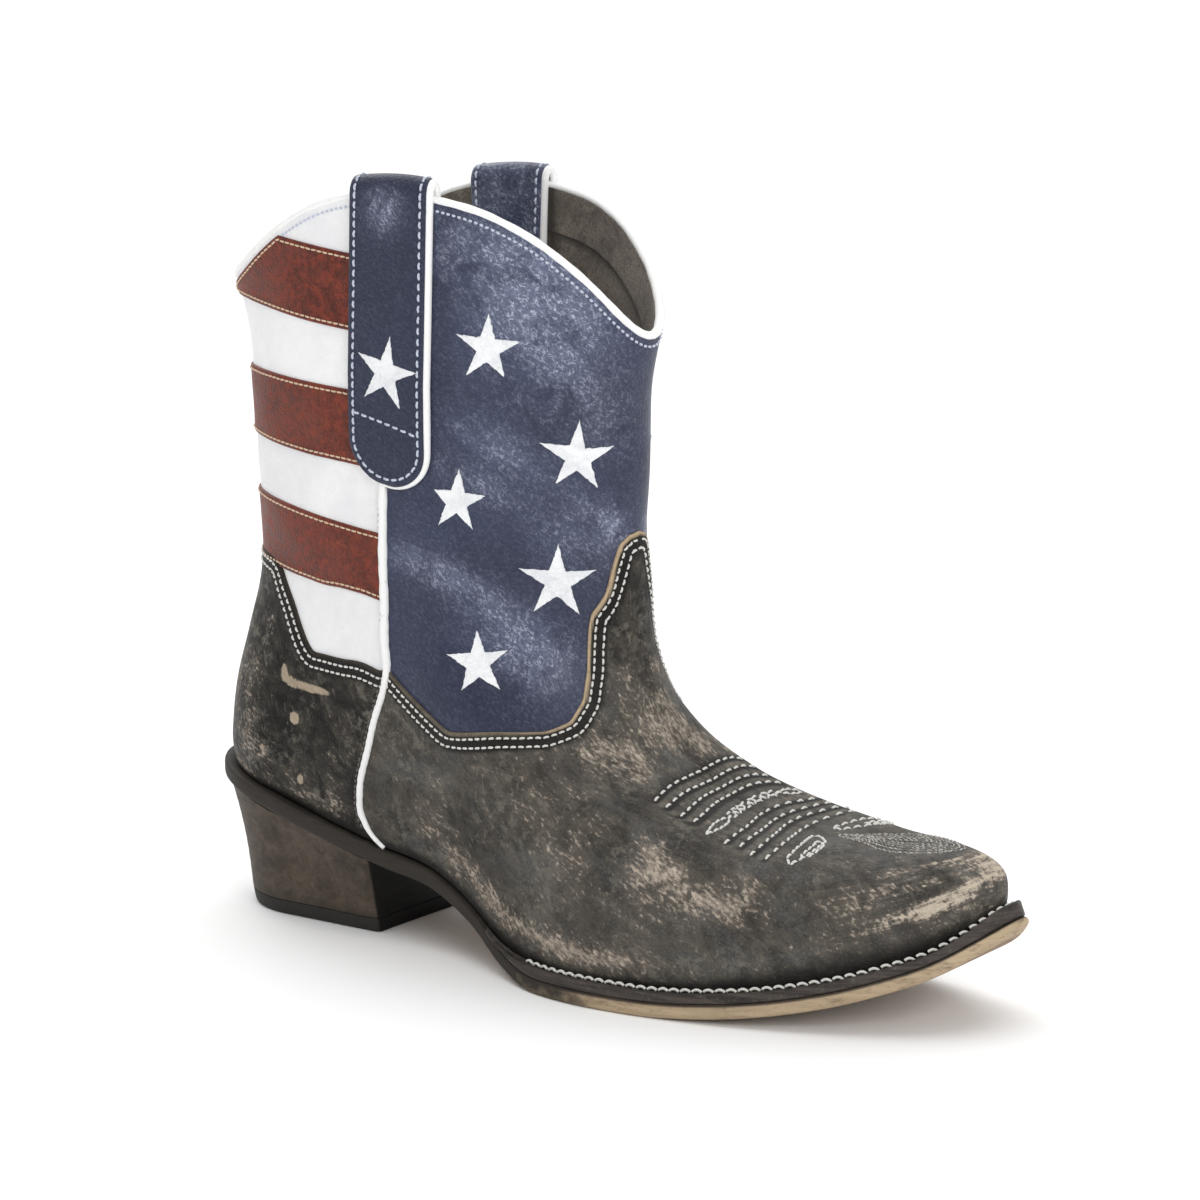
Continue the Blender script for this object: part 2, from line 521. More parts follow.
def surface(u, v):
    """Outside of the upper: u = 0 at the back, -1 and 1 at the front ridge, outer side negative."""
    u, v = np.broadcast_arrays(np.asarray(u, float), np.asarray(v, float))
    shape, u, v = u.shape, u.ravel(), v.ravel()
    u = wrapped(u)
    s = s_of(u)
    x, z = side_view(s, v)
    turn = smooth(s, 0.55, 1.0)
    half = np.empty(len(u))
    outer = u < 0
    half[outer] = -half_width(OUTER_HALF, s[outer], v[outer])
    half[~outer] = half_width(INNER_HALF, s[~outer], v[~outer])
    y = curve(PROFILE[:, 0], PROFILE[:, 5], v) * turn + half
    return np.stack([x, y, z], -1).reshape(shape + (3,))


def facing_out(u, v):
    """Outward direction of the upper at a point."""
    u, v = np.broadcast_arrays(np.asarray(u, float), np.asarray(v, float))
    across = surface(u + 0.004, v) - surface(u - 0.004, v)
    rising = surface(u, np.clip(v + 0.004, 0, 1)) - surface(u, np.clip(v - 0.004, 0, 1))
    return unit(np.cross(rising, across))


def skin(u, v, out):
    """Point of the upper moved outward along its own normal by a thickness in millimetres."""
    return surface(u, v) + facing_out(u, v) * np.asarray(out, float)[..., None]


def v_below_collar(s, drop):
    """Height share v at a drop in millimetres under the collar, for each s."""
    rising = np.linspace(0.7, 1, 91)
    z = side_view(np.repeat(s, 91), np.tile(rising, len(s)))[1].reshape(-1, 91)
    return np.array([np.interp(line[-1] - drop, line, rising) for line in z])


def shell(name, outer, inner, finish, wrap=False, uv=None, **marks):
    """Closed sheet between two grids of points, wrapped round in its second direction or not."""
    rows, cols = outer.shape[:2]
    half = rows * cols
    faces = grid_faces(rows, cols, wrap) + grid_faces(rows, cols, wrap, half)
    rim = [(0, j) for j in range(cols)], [(rows - 1, j) for j in range(cols)]
    if wrap:
        runs = [line + line[:1] for line in rim]
    else:
        runs = [rim[0] + [(i, cols - 1) for i in range(1, rows)] + rim[1][-2::-1]
                + [(i, 0) for i in range(rows - 2, -1, -1)]]
    for run in runs:
        ids = [i * cols + j for i, j in run]
        faces += [[a, b, b + half, a + half] for a, b in zip(ids, ids[1:])]
    marks = {k: np.concatenate([np.broadcast_to(m, (rows, cols)).ravel()] * 2) for k, m in marks.items()}
    lay = None if uv is None else np.concatenate([np.stack([q.ravel() for q in uv], -1)] * 2)
    points = np.concatenate([outer.reshape(-1, 3), inner.reshape(-1, 3)])
    return piece(name, points, faces, finish, uv=lay, **marks)


suede, tree, shader, at = finish_of("lining_suede", Specular_IOR_Level=0.12, Sheen_Weight=0.25,
                                    Sheen_Roughness=0.5)
nap = noise(tree, at, 1300.0, 5.0, 0.75)
drift = shared(tree, drift_group, 0, Where=at, Size=55.0)
spots = ramp(tree, noise(tree, at, 260.0, 5.0, 0.7), 0.53, 0.66)
earth = layered(
    tree, mixed(tree, drift, (106, 98, 89), (148, 138, 126)),
    (ramp(tree, nap, 0.40, 0.64, 0.0, 0.55), (70, 63, 55)),
    (times(tree, spots, 0.5), (56, 50, 43)),
    (mark(tree, "seam"), (44, 39, 34)))
feed(tree, shader, Base_Color=earth, Roughness=ramp(tree, nap, 0.2, 0.8, 0.82, 0.97),
     Normal=bump(tree, nap, 0.5, 0.0005))
ring = np.linspace(-1, 1, 221)[:-1]
facing_v = v_below_collar(s_of(ring), FACING_DROP)
# rows of the lining: 0 at the sole, 1 at the facing's lower edge, 2 at the collar
rise = np.concatenate([np.linspace(0, 1, 46)[:-1]**1.15 * 0.985, (0.985, 0.9925, 0.9975, 1.0, 1.0025, 1.0075),
                       np.linspace(1.02, 1.90, 16)])[:, None]
grid_v = np.where(rise <= 1, facing_v * rise, facing_v + (1 - facing_v) * (rise - 1))
grid_u = np.broadcast_to(ring, grid_v.shape)
step_in = FACING_THICK * smooth(rise, 0.994, 1.0)
dip = np.exp(-((rise - 1.0) / 0.006)**2)
join = surface(grid_u, grid_v)[..., 0] - FACING_JOIN_X
join = 0.9 * smooth(join, -1.5, 0.0) * (1 - smooth(join, 2.6, 4.6)) * smooth(grid_v, 0.86, 0.90)
shell("lining_and_facing", skin(grid_u, grid_v, -WALL + LINING_TUCK),
      skin(grid_u, grid_v, -WALL - step_in + LINING_TUCK * dip), suede, wrap=True,
      seam=np.maximum(0.75 * dip, join))

# Insole: a sock of the same hide on a thin board, lying on the sole inside the upper, its
# edge turned up a little where it meets the wall.
SOCK_THICK = 3.0
sock_u = np.linspace(0.03, 0.955, 120)
edges = [skin(side * sock_u, 0.03, -WALL - 0.7)[:, :2] for side in (-1, 1)]
share = 0.5 - 0.5 * np.cos(np.pi * np.linspace(0, 1, 34))
plan = edges[0][:, None] + (edges[1] - edges[0])[:, None] * share[None, :, None]
level = sole_top(plan[..., 0]) + 0.4
cup = 1.3 * np.abs(2 * share - 1)**6
insole = shell("insole_sock", np.concatenate([plan, (level + SOCK_THICK + cup)[..., None]], -1),
               np.concatenate([plan, level[..., None]], -1), suede, seam=0.0)
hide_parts("insole")

# Shaft front: one cut of smooth blue hide from side seam to side seam round the front, waxed to
# a gloss that shows its fine crackle, and a little loose at the ankle.
SHAFT_THICK = 1.5
# height shares between which the shaft's panels run, under the vamp's edge and into the binding
SHAFT_FOOT, SHAFT_HEAD = 0.41, 0.998
# side seam from the sole to the collar: v, s
SIDE_SEAM = np.array([
    (0.000, 0.285), (0.012, 0.272), (0.045, 0.258), (0.110, 0.259), (0.224, 0.285), (0.365, 0.341),
    (0.463, 0.398), (0.527, 0.442), (0.585, 0.470), (0.647, 0.500), (0.695, 0.515), (0.774, 0.530),
    (0.864, 0.546), (1.000, 0.570)])
# top edge of the vamp from the side seam to the front ridge: s, v
VAMP_EDGE = np.array([
    (0.442, 0.527), (0.498, 0.505), (0.546, 0.479), (0.683, 0.521), (0.778, 0.549), (0.839, 0.581),
    (0.893, 0.629), (0.924, 0.677), (0.938, 0.715), (0.947, 0.743), (0.972, 0.776), (0.980, 0.800),
    (0.989, 0.826), (0.997, 0.838), (1.000, 0.842)])
# the same on the inner side, where the peak is narrower
VAMP_EDGE_INNER = np.concatenate([VAMP_EDGE[:6], [
    (0.900, 0.622), (0.943, 0.677), (0.959, 0.715), (0.968, 0.743), (0.982, 0.776), (0.987, 0.800),
    (0.992, 0.826), (0.9975, 0.838), (1.000, 0.842)]])
# soft folds and ridges of the hide: side or 0 for both, s and v at each end, width, height in millimetres
FOLDS = ((0, 0.90, 0.672, 1.00, 0.690, 2.6, -0.80), (0, 0.93, 0.648, 1.00, 0.662, 2.2, -0.70),
         (0, 0.94, 0.712, 1.00, 0.724, 2.4, -0.70), (0, 0.90, 0.622, 1.00, 0.633, 2.4, -0.60),
         (0, 0.955, 0.745, 1.00, 0.754, 2.0, -0.45), (0, 0.88, 0.600, 1.00, 0.606, 3.0, -0.45),
         (0, 0.56, 0.600, 0.80, 0.690, 9.0, -1.2), (0, 0.66, 0.640, 0.93, 0.800, 8.0, 1.1),
         (0, 0.78, 0.660, 0.97, 0.830, 7.0, -1.1), (0, 0.58, 0.700, 0.76, 0.760, 10.0, 0.9),
         (-1, 0.90, 0.860, 1.00, 0.885, 8.0, 1.2), (-1, 0.84, 0.835, 0.98, 0.850, 7.0, -1.0),
         (1, 0.86, 0.870, 1.00, 0.900, 9.0, 0.6), (1, 0.62, 0.780, 0.86, 0.850, 9.0, -0.6),
         (0, 0.10, 0.640, 0.36, 0.600, 9.0, -0.7), (0, 0.16, 0.720, 0.42, 0.690, 10.0, 0.5),
         (-1, 0.70, 0.900, 0.90, 0.960, 14.0, 0.5), (0, 0.46, 0.330, 0.62, 0.420, 9.0, -0.35))
# waxed places that show the crackle: side or 0 for both, s, v, reach in millimetres along and across,
# strength
SHINE = ((0, 0.846, 0.975, 22, 9, 0.75), (0, 0.895, 0.958, 15, 11, 0.9), (0, 0.870, 0.940, 18, 12, 0.6),
         (0, 0.790, 0.960, 24, 8, 0.5), (0, 0.978, 0.912, 9, 8, 0.2), (0, 0.976, 0.838, 9, 5, 0.95),
         (0, 0.808, 0.836, 18, 5, 0.5), (0, 0.759, 0.800, 16, 5, 0.4), (0, 0.614, 0.708, 15, 4, 0.5),
         (0, 0.700, 0.704, 14, 4, 0.55), (0, 0.775, 0.685, 14, 5, 0.55), (0, 0.837, 0.655, 11, 9, 0.7),
         (0, 0.785, 0.652, 12, 6, 0.4), (0, 0.900, 0.915, 22, 14, 0.35), (0, 0.930, 0.800, 12, 8, 0.35))
# dull dark places between them, listed the same way
DEEP = ((0, 0.600, 0.560, 26, 14, 0.8), (0, 0.760, 0.565, 22, 9, 0.7), (0, 0.930, 0.900, 9, 10, 0.6),
        (0, 0.860, 0.875, 16, 8, 0.6), (0, 0.820, 0.745, 16, 6, 0.6), (0, 0.620, 0.660, 10, 12, 0.6),
        (0, 0.660, 0.930, 5, 30, 0.8), (0, 0.660, 0.860, 5, 26, 0.8), (0, 0.760, 0.730, 14, 6, 0.5),
        (0, 0.975, 0.790, 14, 14, 0.8), (0, 0.966, 0.915, 14, 14, 0.95), (0, 0.930, 0.720, 12, 10, 0.7))


def fold_height(u, v):
    """Height of the folds over the true last shape, in millimetres."""
    p = surface(u, v)
    side = np.where(wrapped(u) < 0, -1, 1)
    x, y, z = p[..., 0], p[..., 1], p[..., 2]
    high = 0.16 * np.sin(0.17 * x + 0.11 * z) * np.sin(0.13 * z - 0.09 * y + 0.7)
    for which, s0, v0, s1, v1, width, height in FOLDS:
        for w in (-1, 1) if which == 0 else (which,):
            a, b = surface(w * u_of((s0, s1)), (v0, v1))
            t = np.clip(((p - a) @ (b - a)) / ((b - a) @ (b - a)), 0, 1)
            gone = np.linalg.norm(p - a - t[..., None] * (b - a), axis=-1)
            ease = np.sin(np.pi * np.clip(0.12 + 0.76 * t, 0, 1)) if s1 < 1.0 else np.clip(0.25 + t, 0, 1)
            near = (side == w) | (s1 >= 0.97) | (s0 <= 0.1)
            fold = np.where(near, height * ease * np.exp(-(gone / width)**2), 0.0)
            high = high + fold * (0.5 if s1 >= 1.0 and which == 0 else 1.0)
    return high


def hide(u, v, out):
    """Point on the outside leather, folds included, at a height above the upper's own skin."""
    return skin(u, v, fold_height(u, v) + out)


def cut_line(table, u):
    """Height share of a cut edge, straight between its corners, with each corner slightly rounded."""
    at_u = u_of(table[:, 0])
    return sum(np.interp(u + 0.006 * k, at_u, table[:, 1]) for k in (-1, -0.5, 0, 0.5, 1)) / 5


def seam_u(v):
    return u_of(curve(*SIDE_SEAM.T, v))


def steps(count):
    """Shares from 0 to 1 with two close steps at each end, and how far the cut edge falls there."""
    cell = 1.0 / count
    inner = np.arange(1, count) * cell
    share = np.concatenate([(0.0, 0.15 * cell, 0.5 * cell), inner, (1 - 0.5 * cell, 1 - 0.15 * cell, 1.0)])
    fall = np.concatenate([(0.5, 0.16, 0.03), np.zeros(count - 1), (0.03, 0.16, 0.5)])
    return share, fall


def cut_net(across, up):
    """Shares across and up a cut piece, and how far its edge falls at each point of that net."""
    col, col_fall = steps(across)
    row, row_fall = steps(up)
    return col, row, np.maximum(row_fall[:, None], col_fall)


def panel(name, u, v, base, top, fall, finish, **marks):
    """Cut piece of hide on the upper between two heights, its edge slightly rounded, clear of the lining."""
    fold = fold_height(u, v)
    outer = skin(u, v, fold + top - (top - base) * fall)
    return shell(name, outer, skin(u, v, np.maximum(fold + base, 0.25 - WALL)), finish, uv=(u, v), **marks)


def rub_mark(u, v, places):
    """How far the finish is rubbed through, from 0 to 1, as soft blots at the listed places."""
    p = surface(u, v)
    side = np.where(wrapped(u) < 0, -1, 1)
    kept = np.ones(side.shape)
    for which, s, v0, along, across, strength in places:
        for w in (-1, 1) if which == 0 else (which,):
            ahead = unit(surface(w * u_of(s + 0.01), v0) - surface(w * u_of(s - 0.01), v0))
            gap = p - surface(w * u_of(s), v0)
            run = gap @ ahead
            away = np.sqrt(np.clip((gap**2).sum(-1) - run**2, 0, None))
            blot = strength * np.exp(-(run / along)**2 - (away / across)**2)
            kept = kept * (1 - np.where((side == w) | (s > 0.97), blot, 0.0))
    return 1 - kept


def drawn_out(tree, where, tilt, stretch):
    """Place tilted in the side view and drawn out along that slope."""
    return wire(tree, "ShaderNodeMapping", props={"vector_type": "TEXTURE"}, Vector=where,
                Rotation=(0.0, tilt, 0.0), Scale=(stretch, 1.0, 1.0))


# pebble and pore relief of a tanned hide
grain_group, given, result = effect(
    "hide_grain", (("Where", "Vector"), ("Pebbles", "Float"), ("Pores", "Float")), ("Height", "Crevice"))
shift = wire(grain_group, "ShaderNodeTexNoise", 1, Vector=given["Where"], Scale=given["Pebbles"], Detail=2.0)
bent = wire(grain_group, "ShaderNodeVectorMath", props={"operation": "MULTIPLY_ADD"}, i0=shift,
            i1=(0.0006, 0.0006, 0.0006), i2=given["Where"])
net = wire(grain_group, "ShaderNodeTexVoronoi", 0, {"feature": "DISTANCE_TO_EDGE"}, Vector=bent,
           Scale=given["Pebbles"])
pebble = ramp(grain_group, net, 0.0, 0.22)
pore = noise(grain_group, given["Where"], given["Pores"], 4.0, 0.7)
grain_group.links.new(times(grain_group, pebble, 0.6, times(grain_group, pore, 0.4)), result["Height"])
grain_group.links.new(maths(grain_group, "SUBTRACT", 1.0, pebble), result["Crevice"])

blue_hide, tree, shader, at = finish_of("shaft_blue_hide", Specular_IOR_Level=0.32, Coat_Roughness=0.3)
drift = shared(tree, drift_group, 0, Where=at, Size=30.0)
crackle = shared(tree, grain_group, 1, Where=at, Pebbles=640.0, Pores=1700.0)
height = shared(tree, grain_group, 0, Where=at, Pebbles=640.0, Pores=1700.0)
cloud = ramp(tree, noise(tree, at, 70.0, 7.0, 0.68, 0.9), 0.28, 0.58)
lit = times(tree, mark(tree, "shine"), cloud)
slant = drawn_out(tree, at, 0.7, 1.7)
wave = noise(tree, slant, 640.0, 3.0, 0.6, 0.8)
web = ramp(tree, maths(tree, "ABSOLUTE", maths(tree, "SUBTRACT", wave, 0.5)), 0.0, 0.07, 1.0, 0.0)
web = times(tree, web, ramp(tree, noise(tree, slant, 900.0, 3.0, 0.6), 0.44, 0.60))
fleck = ramp(tree, noise(tree, slant, 1200.0, 6.0, 0.8), 0.46, 0.66)
blue = layered(
    tree, mixed(tree, drift, (38, 43, 66), (51, 58, 83)),
    (times(tree, mark(tree, "deep"), 0.85), (29, 34, 55)),
    (times(tree, crackle, 0.25), (34, 38, 60)),
    (times(tree, lit, 0.55), (112, 119, 146)),
    (times(tree, fleck, times(tree, lit, 0.42, 0.08)), (152, 160, 184)),
    (times(tree, web, times(tree, lit, 0.85, 0.02)), (196, 203, 222)))
feed(tree, shader, Base_Color=blue, Roughness=ramp(tree, lit, 0.0, 1.0, 0.46, 0.34),
     Coat_Weight=ramp(tree, lit, 0.0, 1.0, 0.03, 0.3),
     Normal=bump(tree, times(tree, web, times(tree, lit, 0.6), height), 0.28, 0.0005))
col, row, fall = cut_net(250, 110)
grid_v = SHAFT_FOOT + (SHAFT_HEAD - SHAFT_FOOT) * row[:, None] * np.ones_like(col)
grid_u = -seam_u(grid_v) + (2 * seam_u(grid_v) - 2) * col
shaft_front = panel("shaft_front_blue", grid_u, grid_v, -SHAFT_THICK, 0.0, fall, blue_hide,
                    shine=np.clip(0.03 + rub_mark(grid_u, grid_v, SHINE), 0, 1),
                    deep=rub_mark(grid_u, grid_v, DEEP))
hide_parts("upper")

# Back panel: white hide round the back of the shaft, from side seam to side seam, sewn under
# the counter below and into the collar above.
# top edge of the counter from the back to the side seam: s, v
COUNTER_EDGE = np.array([
    (0.000, 0.648), (0.094, 0.643), (0.140, 0.638), (0.163, 0.627), (0.204, 0.557), (0.230, 0.471),
    (0.317, 0.481), (0.410, 0.502), (0.442, 0.527)])
white_hide, tree, shader, at = finish_of("back_white_hide", Specular_IOR_Level=0.4)
height = shared(tree, grain_group, 0, Where=at, Pebbles=520.0, Pores=1700.0)
drift = shared(tree, drift_group, 0, Where=at, Size=35.0)
fleck = ramp(tree, noise(tree, at, 420.0, 4.0, 0.7), 0.62, 0.74)
white = mixed(tree, drift, (231, 231, 233), (243, 243, 243))
white = mixed(tree, times(tree, fleck, 0.12), white, (196, 195, 193))
feed(tree, shader, Base_Color=white, Roughness=ramp(tree, drift, 0.0, 1.0, 0.5, 0.62),
     Normal=bump(tree, height, 0.22, 0.0004))
col, row, fall = cut_net(190, 80)
grid_v = SHAFT_FOOT + (SHAFT_HEAD - SHAFT_FOOT) * row[:, None] * np.ones_like(col)
grid_u = seam_u(grid_v) * (2 * col - 1)
back_panel = panel("back_panel_white", grid_u, grid_v, -SHAFT_THICK, 0.0, fall, white_hide)
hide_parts("upper")

# Stripes: three bands of rust hide laid round the back panel, their cut edges sewn down with
# one row of pale thread each.
STRIPE_OUT, SEAM_GAP = 0.75, 0.003
# name, node, top height at x = 0, top slope, foot height, foot slope
STRIPES = (("stripe_band_upper", "stripe_upper", 223.6, -0.117, 200.8, -0.124),
           ("stripe_band_middle", "stripe_middle", 178.2, -0.064, 157.7, -0.098),
           ("stripe_band_lower", "stripe_lower", 140.4, -0.122, 117.7, -0.105))


def v_at_line(s, height, slope):
    """Height share v where each column s meets the sloping line z = height + slope x."""
    rising = np.linspace(0.3, 1, 181)
    x, z = (q.reshape(len(s), -1) for q in side_view(np.repeat(s, 181), np.tile(rising, len(s))))
    return np.array([np.interp(height, line, rising) for line in z - slope * x])


rust_hide, tree, shader, at = finish_of("stripe_rust_hide", Specular_IOR_Level=0.28)
height = shared(tree, grain_group, 0, Where=at, Pebbles=600.0, Pores=1600.0)
drift = shared(tree, drift_group, 0, Where=at, Size=48.0)
fleck = ramp(tree, noise(tree, at, 380.0, 6.0, 0.75), 0.40, 0.66)
rust = mixed(tree, fleck, (76, 26, 14), (124, 51, 33))
rust = mixed(tree, times(tree, drift, 0.34), rust, (132, 66, 48))
feed(tree, shader, Base_Color=rust, Roughness=ramp(tree, fleck, 0.0, 1.0, 0.42, 0.56),
     Normal=bump(tree, height, 0.3, 0.0005))
col, row, fall = cut_net(190, 22)
stripe_edges = []
for name, node, top_z, top_slope, foot_z, foot_slope in STRIPES:
    end = seam_u(v_at_line(np.array((0.5,)), 0.5 * (top_z + foot_z), foot_slope))[0]
    run = end * (2 * col - 1)
    s = s_of(run)
    high = np.minimum(v_at_line(s, top_z, top_slope), v_below_collar(s, 3.0))
    foot = v_at_line(s, foot_z, foot_slope)
    foot = np.maximum(foot, np.where(s < 0.3, cut_line(COUNTER_EDGE, np.abs(run)) - 0.02, 0.0))
    foot = np.minimum(foot, high - 0.004)
    grid_v = foot + (high - foot) * row[:, None]
    grid_u = (seam_u(grid_v) - SEAM_GAP) * (2 * col - 1)
    band = panel(name, grid_u, grid_v, -0.1, STRIPE_OUT, fall, rust_hide)
    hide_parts(node)
    stripe_edges.append((grid_u, grid_v))

# Vamp: the dark lower front, one piece lasted over the foot from side seam to side seam, its
# finish rubbed through to tan at the toe, over the instep and above the welt.
VAMP_OUT, UNDER = 0.95, -0.1
# rubbed places: side or 0 for both, s, v, reach in millimetres along and across, strength
RUBBED = (
    (-1, 0.925, 0.074, 9, 1.6, 0.7), (-1, 0.943, 0.081, 11, 1.9, 0.9), (-1, 0.962, 0.086, 10, 2.0, 0.85),
    (-1, 0.976, 0.092, 9, 2.0, 0.85), (-1, 0.988, 0.106, 8, 2.0, 0.80), (0, 1.000, 0.120, 6, 2.2, 0.78),
    (0, 1.000, 0.162, 6, 3.4, 0.46), (0, 0.995, 0.190, 8, 2.6, 0.36), (-1, 0.984, 0.186, 9, 1.5, 0.5),
    (-1, 0.971, 0.195, 8, 1.4, 0.5), (-1, 0.940, 0.160, 14, 2.0, 0.4), (1, 0.960, 0.090, 20, 3.0, 0.8),
    (-1, 0.905, 0.562, 9, 6, 0.42), (-1, 0.860, 0.549, 10, 5, 0.47), (-1, 0.870, 0.510, 9, 6, 0.45),
    (-1, 0.806, 0.525, 9, 5, 0.20), (-1, 0.906, 0.609, 10, 7, 0.28), (-1, 0.740, 0.262, 7, 8, 0.50),
    (-1, 0.735, 0.215, 7, 6, 0.56), (-1, 0.758, 0.170, 7, 5, 0.54), (-1, 0.700, 0.195, 9, 8, 0.26),
    (-1, 0.735, 0.130, 16, 5, 0.30), (-1, 0.797, 0.158, 8, 4, 0.54), (-1, 0.837, 0.215, 8, 5, 0.24),
    (-1, 0.660, 0.390, 12, 10, 0.22), (-1, 0.630, 0.250, 14, 12, 0.22), (-1, 0.640, 0.038, 18, 3.4, 0.46),
    (-1, 0.580, 0.047, 16, 4, 0.58), (-1, 0.530, 0.050, 12, 4, 0.62), (-1, 0.480, 0.050, 12, 4, 0.52),
    (-1, 0.440, 0.057, 12, 4, 0.58), (-1, 0.400, 0.062, 10, 5, 0.36), (-1, 0.383, 0.110, 10, 8, 0.26),
    (0, 0.998, 0.690, 7, 12, 0.24), (0, 1.000, 0.655, 9, 8, 0.34), (0, 0.985, 0.700, 5, 8, 0.26),
    (0, 0.992, 0.628, 9, 6, 0.46), (1, 0.986, 0.600, 8, 6, 0.46), (-1, 0.870, 0.110, 18, 5, 0.20),
    (1, 0.750, 0.220, 16, 10, 0.45), (1, 0.600, 0.050, 24, 5, 0.48), (1, 0.860, 0.500, 12, 10, 0.35),
    (1, 0.450, 0.080, 18, 8, 0.38), (1, 0.820, 0.330, 12, 9, 0.30), (1, 0.680, 0.150, 14, 9, 0.36))
# decorative rows across the toe: s and v at the outer end, v at the ridge, and the chain among them
TOE_ROWS = ((0.856, 0.455, 0.580), (0.861, 0.443, 0.564), (0.864, 0.423, 0.550), (0.870, 0.410, 0.536),
            (0.849, 0.326, 0.493), (0.859, 0.316, 0.477), (0.852, 0.282, 0.463), (0.860, 0.268, 0.444))
CHAIN = (0.854, 0.364, 0.514)
# share of a row's drop from the ridge to its end, by how far along it is, inner side negative
ROW_SHAPE = np.array([
    (-1.0, 0.90), (-0.8, 0.555), (-0.6, 0.30), (-0.4, 0.12), (-0.2, 0.022), (-0.07, 0.0), (0.0, 0.002),
    (0.2, 0.051), (0.4, 0.176), (0.6, 0.372), (0.8, 0.643), (1.0, 1.0)])


def row_height(line, u):
    """Height share of a decorative row at each u, and how far along its own half it is, 1 at the end."""
    s, v, ridge = line
    t = (np.asarray(u) + 1) / (1 - u_of(s))
    return ridge + (v - ridge) * curve(*ROW_SHAPE.T, t), np.abs(t)


# finish rubbed off a dark hide: a haze in clouds, and bare grain that breaks up into specks
rub_group, given, result = effect(
    "rubbed_through", (("Where", "Vector"), ("Rub", "Float"), ("Patches", "Float"), ("Specks", "Float")),
    ("Haze", "Bare"))
cloud = noise(rub_group, given["Where"], given["Patches"], 9.0, 0.7, 0.7)
speck = noise(rub_group, given["Where"], given["Specks"], 3.0, 0.6)
level = times(rub_group, cloud, 0.45, times(rub_group, speck, 0.55))
limit = times(rub_group, given["Rub"], -0.25, 0.65)
for label, value, under_by, over_by in (("Haze", cloud, 0.24, 0.10), ("Bare", level, 0.05, 0.085)):
    shown = ramp(rub_group, value, maths(rub_group, "SUBTRACT", limit, under_by),
                 maths(rub_group, "ADD", limit, over_by))
    rub_group.links.new(shown, result[label])

dark_hide, tree, shader, at = finish_of("vamp_dark_hide", Specular_IOR_Level=0.15)
lay = wire(tree, "ShaderNodeUVMap", props={"uv_map": "lay"})
drawn = drawn_out(tree, at, 0.55, 1.9)
height = shared(tree, grain_group, 0, Where=at, Pebbles=800.0, Pores=2200.0)
crevice = shared(tree, grain_group, 1, Where=at, Pebbles=800.0, Pores=2200.0)
drift = shared(tree, drift_group, 0, Where=at, Size=26.0)
dim = mark(tree, "dim")
rub = mark(tree, "rub")
streak = noise(tree, stretched(tree, lay, 14.0, 60.0, 1.0), 1.0, 7.0, 0.7, 0.8)
streak = times(tree, maths(tree, "SUBTRACT", streak, 0.5), mark(tree, "toe"))
rub = times(tree, streak, 3.4, rub)
haze = shared(tree, rub_group, 0, Where=drawn, Rub=rub, Patches=150.0, Specks=950.0)
bare = shared(tree, rub_group, 1, Where=drawn, Rub=rub, Patches=150.0, Specks=950.0)
mottle = noise(tree, drawn, 420.0, 7.0, 0.8)
cool = ramp(tree, noise(tree, at, 42.0, 4.0, 0.6, 0.5), 0.48, 0.66, 0.0, 0.5)
blotch = times(tree, ramp(tree, noise(tree, at, 300.0, 6.0, 0.74, 0.4), 0.49, 0.61),
               ramp(tree, noise(tree, at, 36.0, 3.0, 0.5, 0.6), 0.40, 0.62))
charcoal = layered(
    tree, mixed(tree, drift, (38, 36, 33), (78, 75, 70)),
    (times(tree, cool, maths(tree, "SUBTRACT", 1.0, dim)), (92, 94, 95)),
    (ramp(tree, mottle, 0.46, 0.72, 0.0, 0.55), (100, 94, 86)),
    (times(tree, crevice, 0.4), (24, 22, 20)),
    (times(tree, dim, 0.92), (16, 15, 14)),
    (times(tree, blotch, 0.6), (116, 112, 103)),
    (times(tree, haze, times(tree, dim, -0.18, 0.54)), (106, 99, 89)))
flesh = ramp(tree, noise(tree, drawn, 620.0, 6.0, 0.78), 0.36, 0.64)
worn = layered(
    tree, mixed(tree, flesh, (112, 103, 94), (194, 181, 165)),
    (ramp(tree, rub, 0.72, 1.1, 0.0, 0.8), (199, 186, 167)),
    (times(tree, crevice, 0.12), (78, 70, 61)))
pleat = times(tree, mark(tree, "crease"), ramp(tree, mottle, 0.34, 0.60, 0.85, 0.35))
scratch = noise(tree, stretched(tree, lay, 160.0, 16.0, 1.0), 1.0, 4.0, 0.6, 0.4)
scratch = ramp(tree, scratch, 0.60, 0.70, 0.0, 0.55)
colour = layered(
    tree, mixed(tree, times(tree, bare, 0.95), charcoal, worn),
    (pleat, (24, 22, 20)),
    (times(tree, scratch, dim), (112, 105, 95)))
nick = ramp(tree, times(tree, mottle, 0.5, mark(tree, "nick")), 0.66, 0.84)
quilt = mark(tree, "quilt")
sunk = maths(tree, "PINGPONG", maths(tree, "SUBTRACT", mark(tree, "row"), 0.16), 0.5)
sunk = times(tree, ramp(tree, sunk, 0.10, 0.38, 1.0, 0.0), quilt)
colour = layered(
    tree, mixed(tree, nick, colour, mixed(tree, mottle, (116, 103, 88), (192, 176, 153))),
    (times(tree, quilt, ramp(tree, mottle, 0.40, 0.66, 0.0, 0.55)), (124, 116, 105)),
    (times(tree, sunk, 0.92), (17, 16, 15)),
    (mark(tree, "band"), (20, 19, 18)),
    (times(tree, mark(tree, "cut"), ramp(tree, mottle, 0.3, 0.55, 0.55, 1.0)), (186, 164, 134)))
relief = times(tree, sunk, -1.2, times(tree, bare, -0.3, height))
feed(tree, shader, Base_Color=colour, Roughness=ramp(tree, bare, 0.0, 1.0, 0.5, 0.76),
     Normal=bump(tree, relief, 0.32, 0.0005))


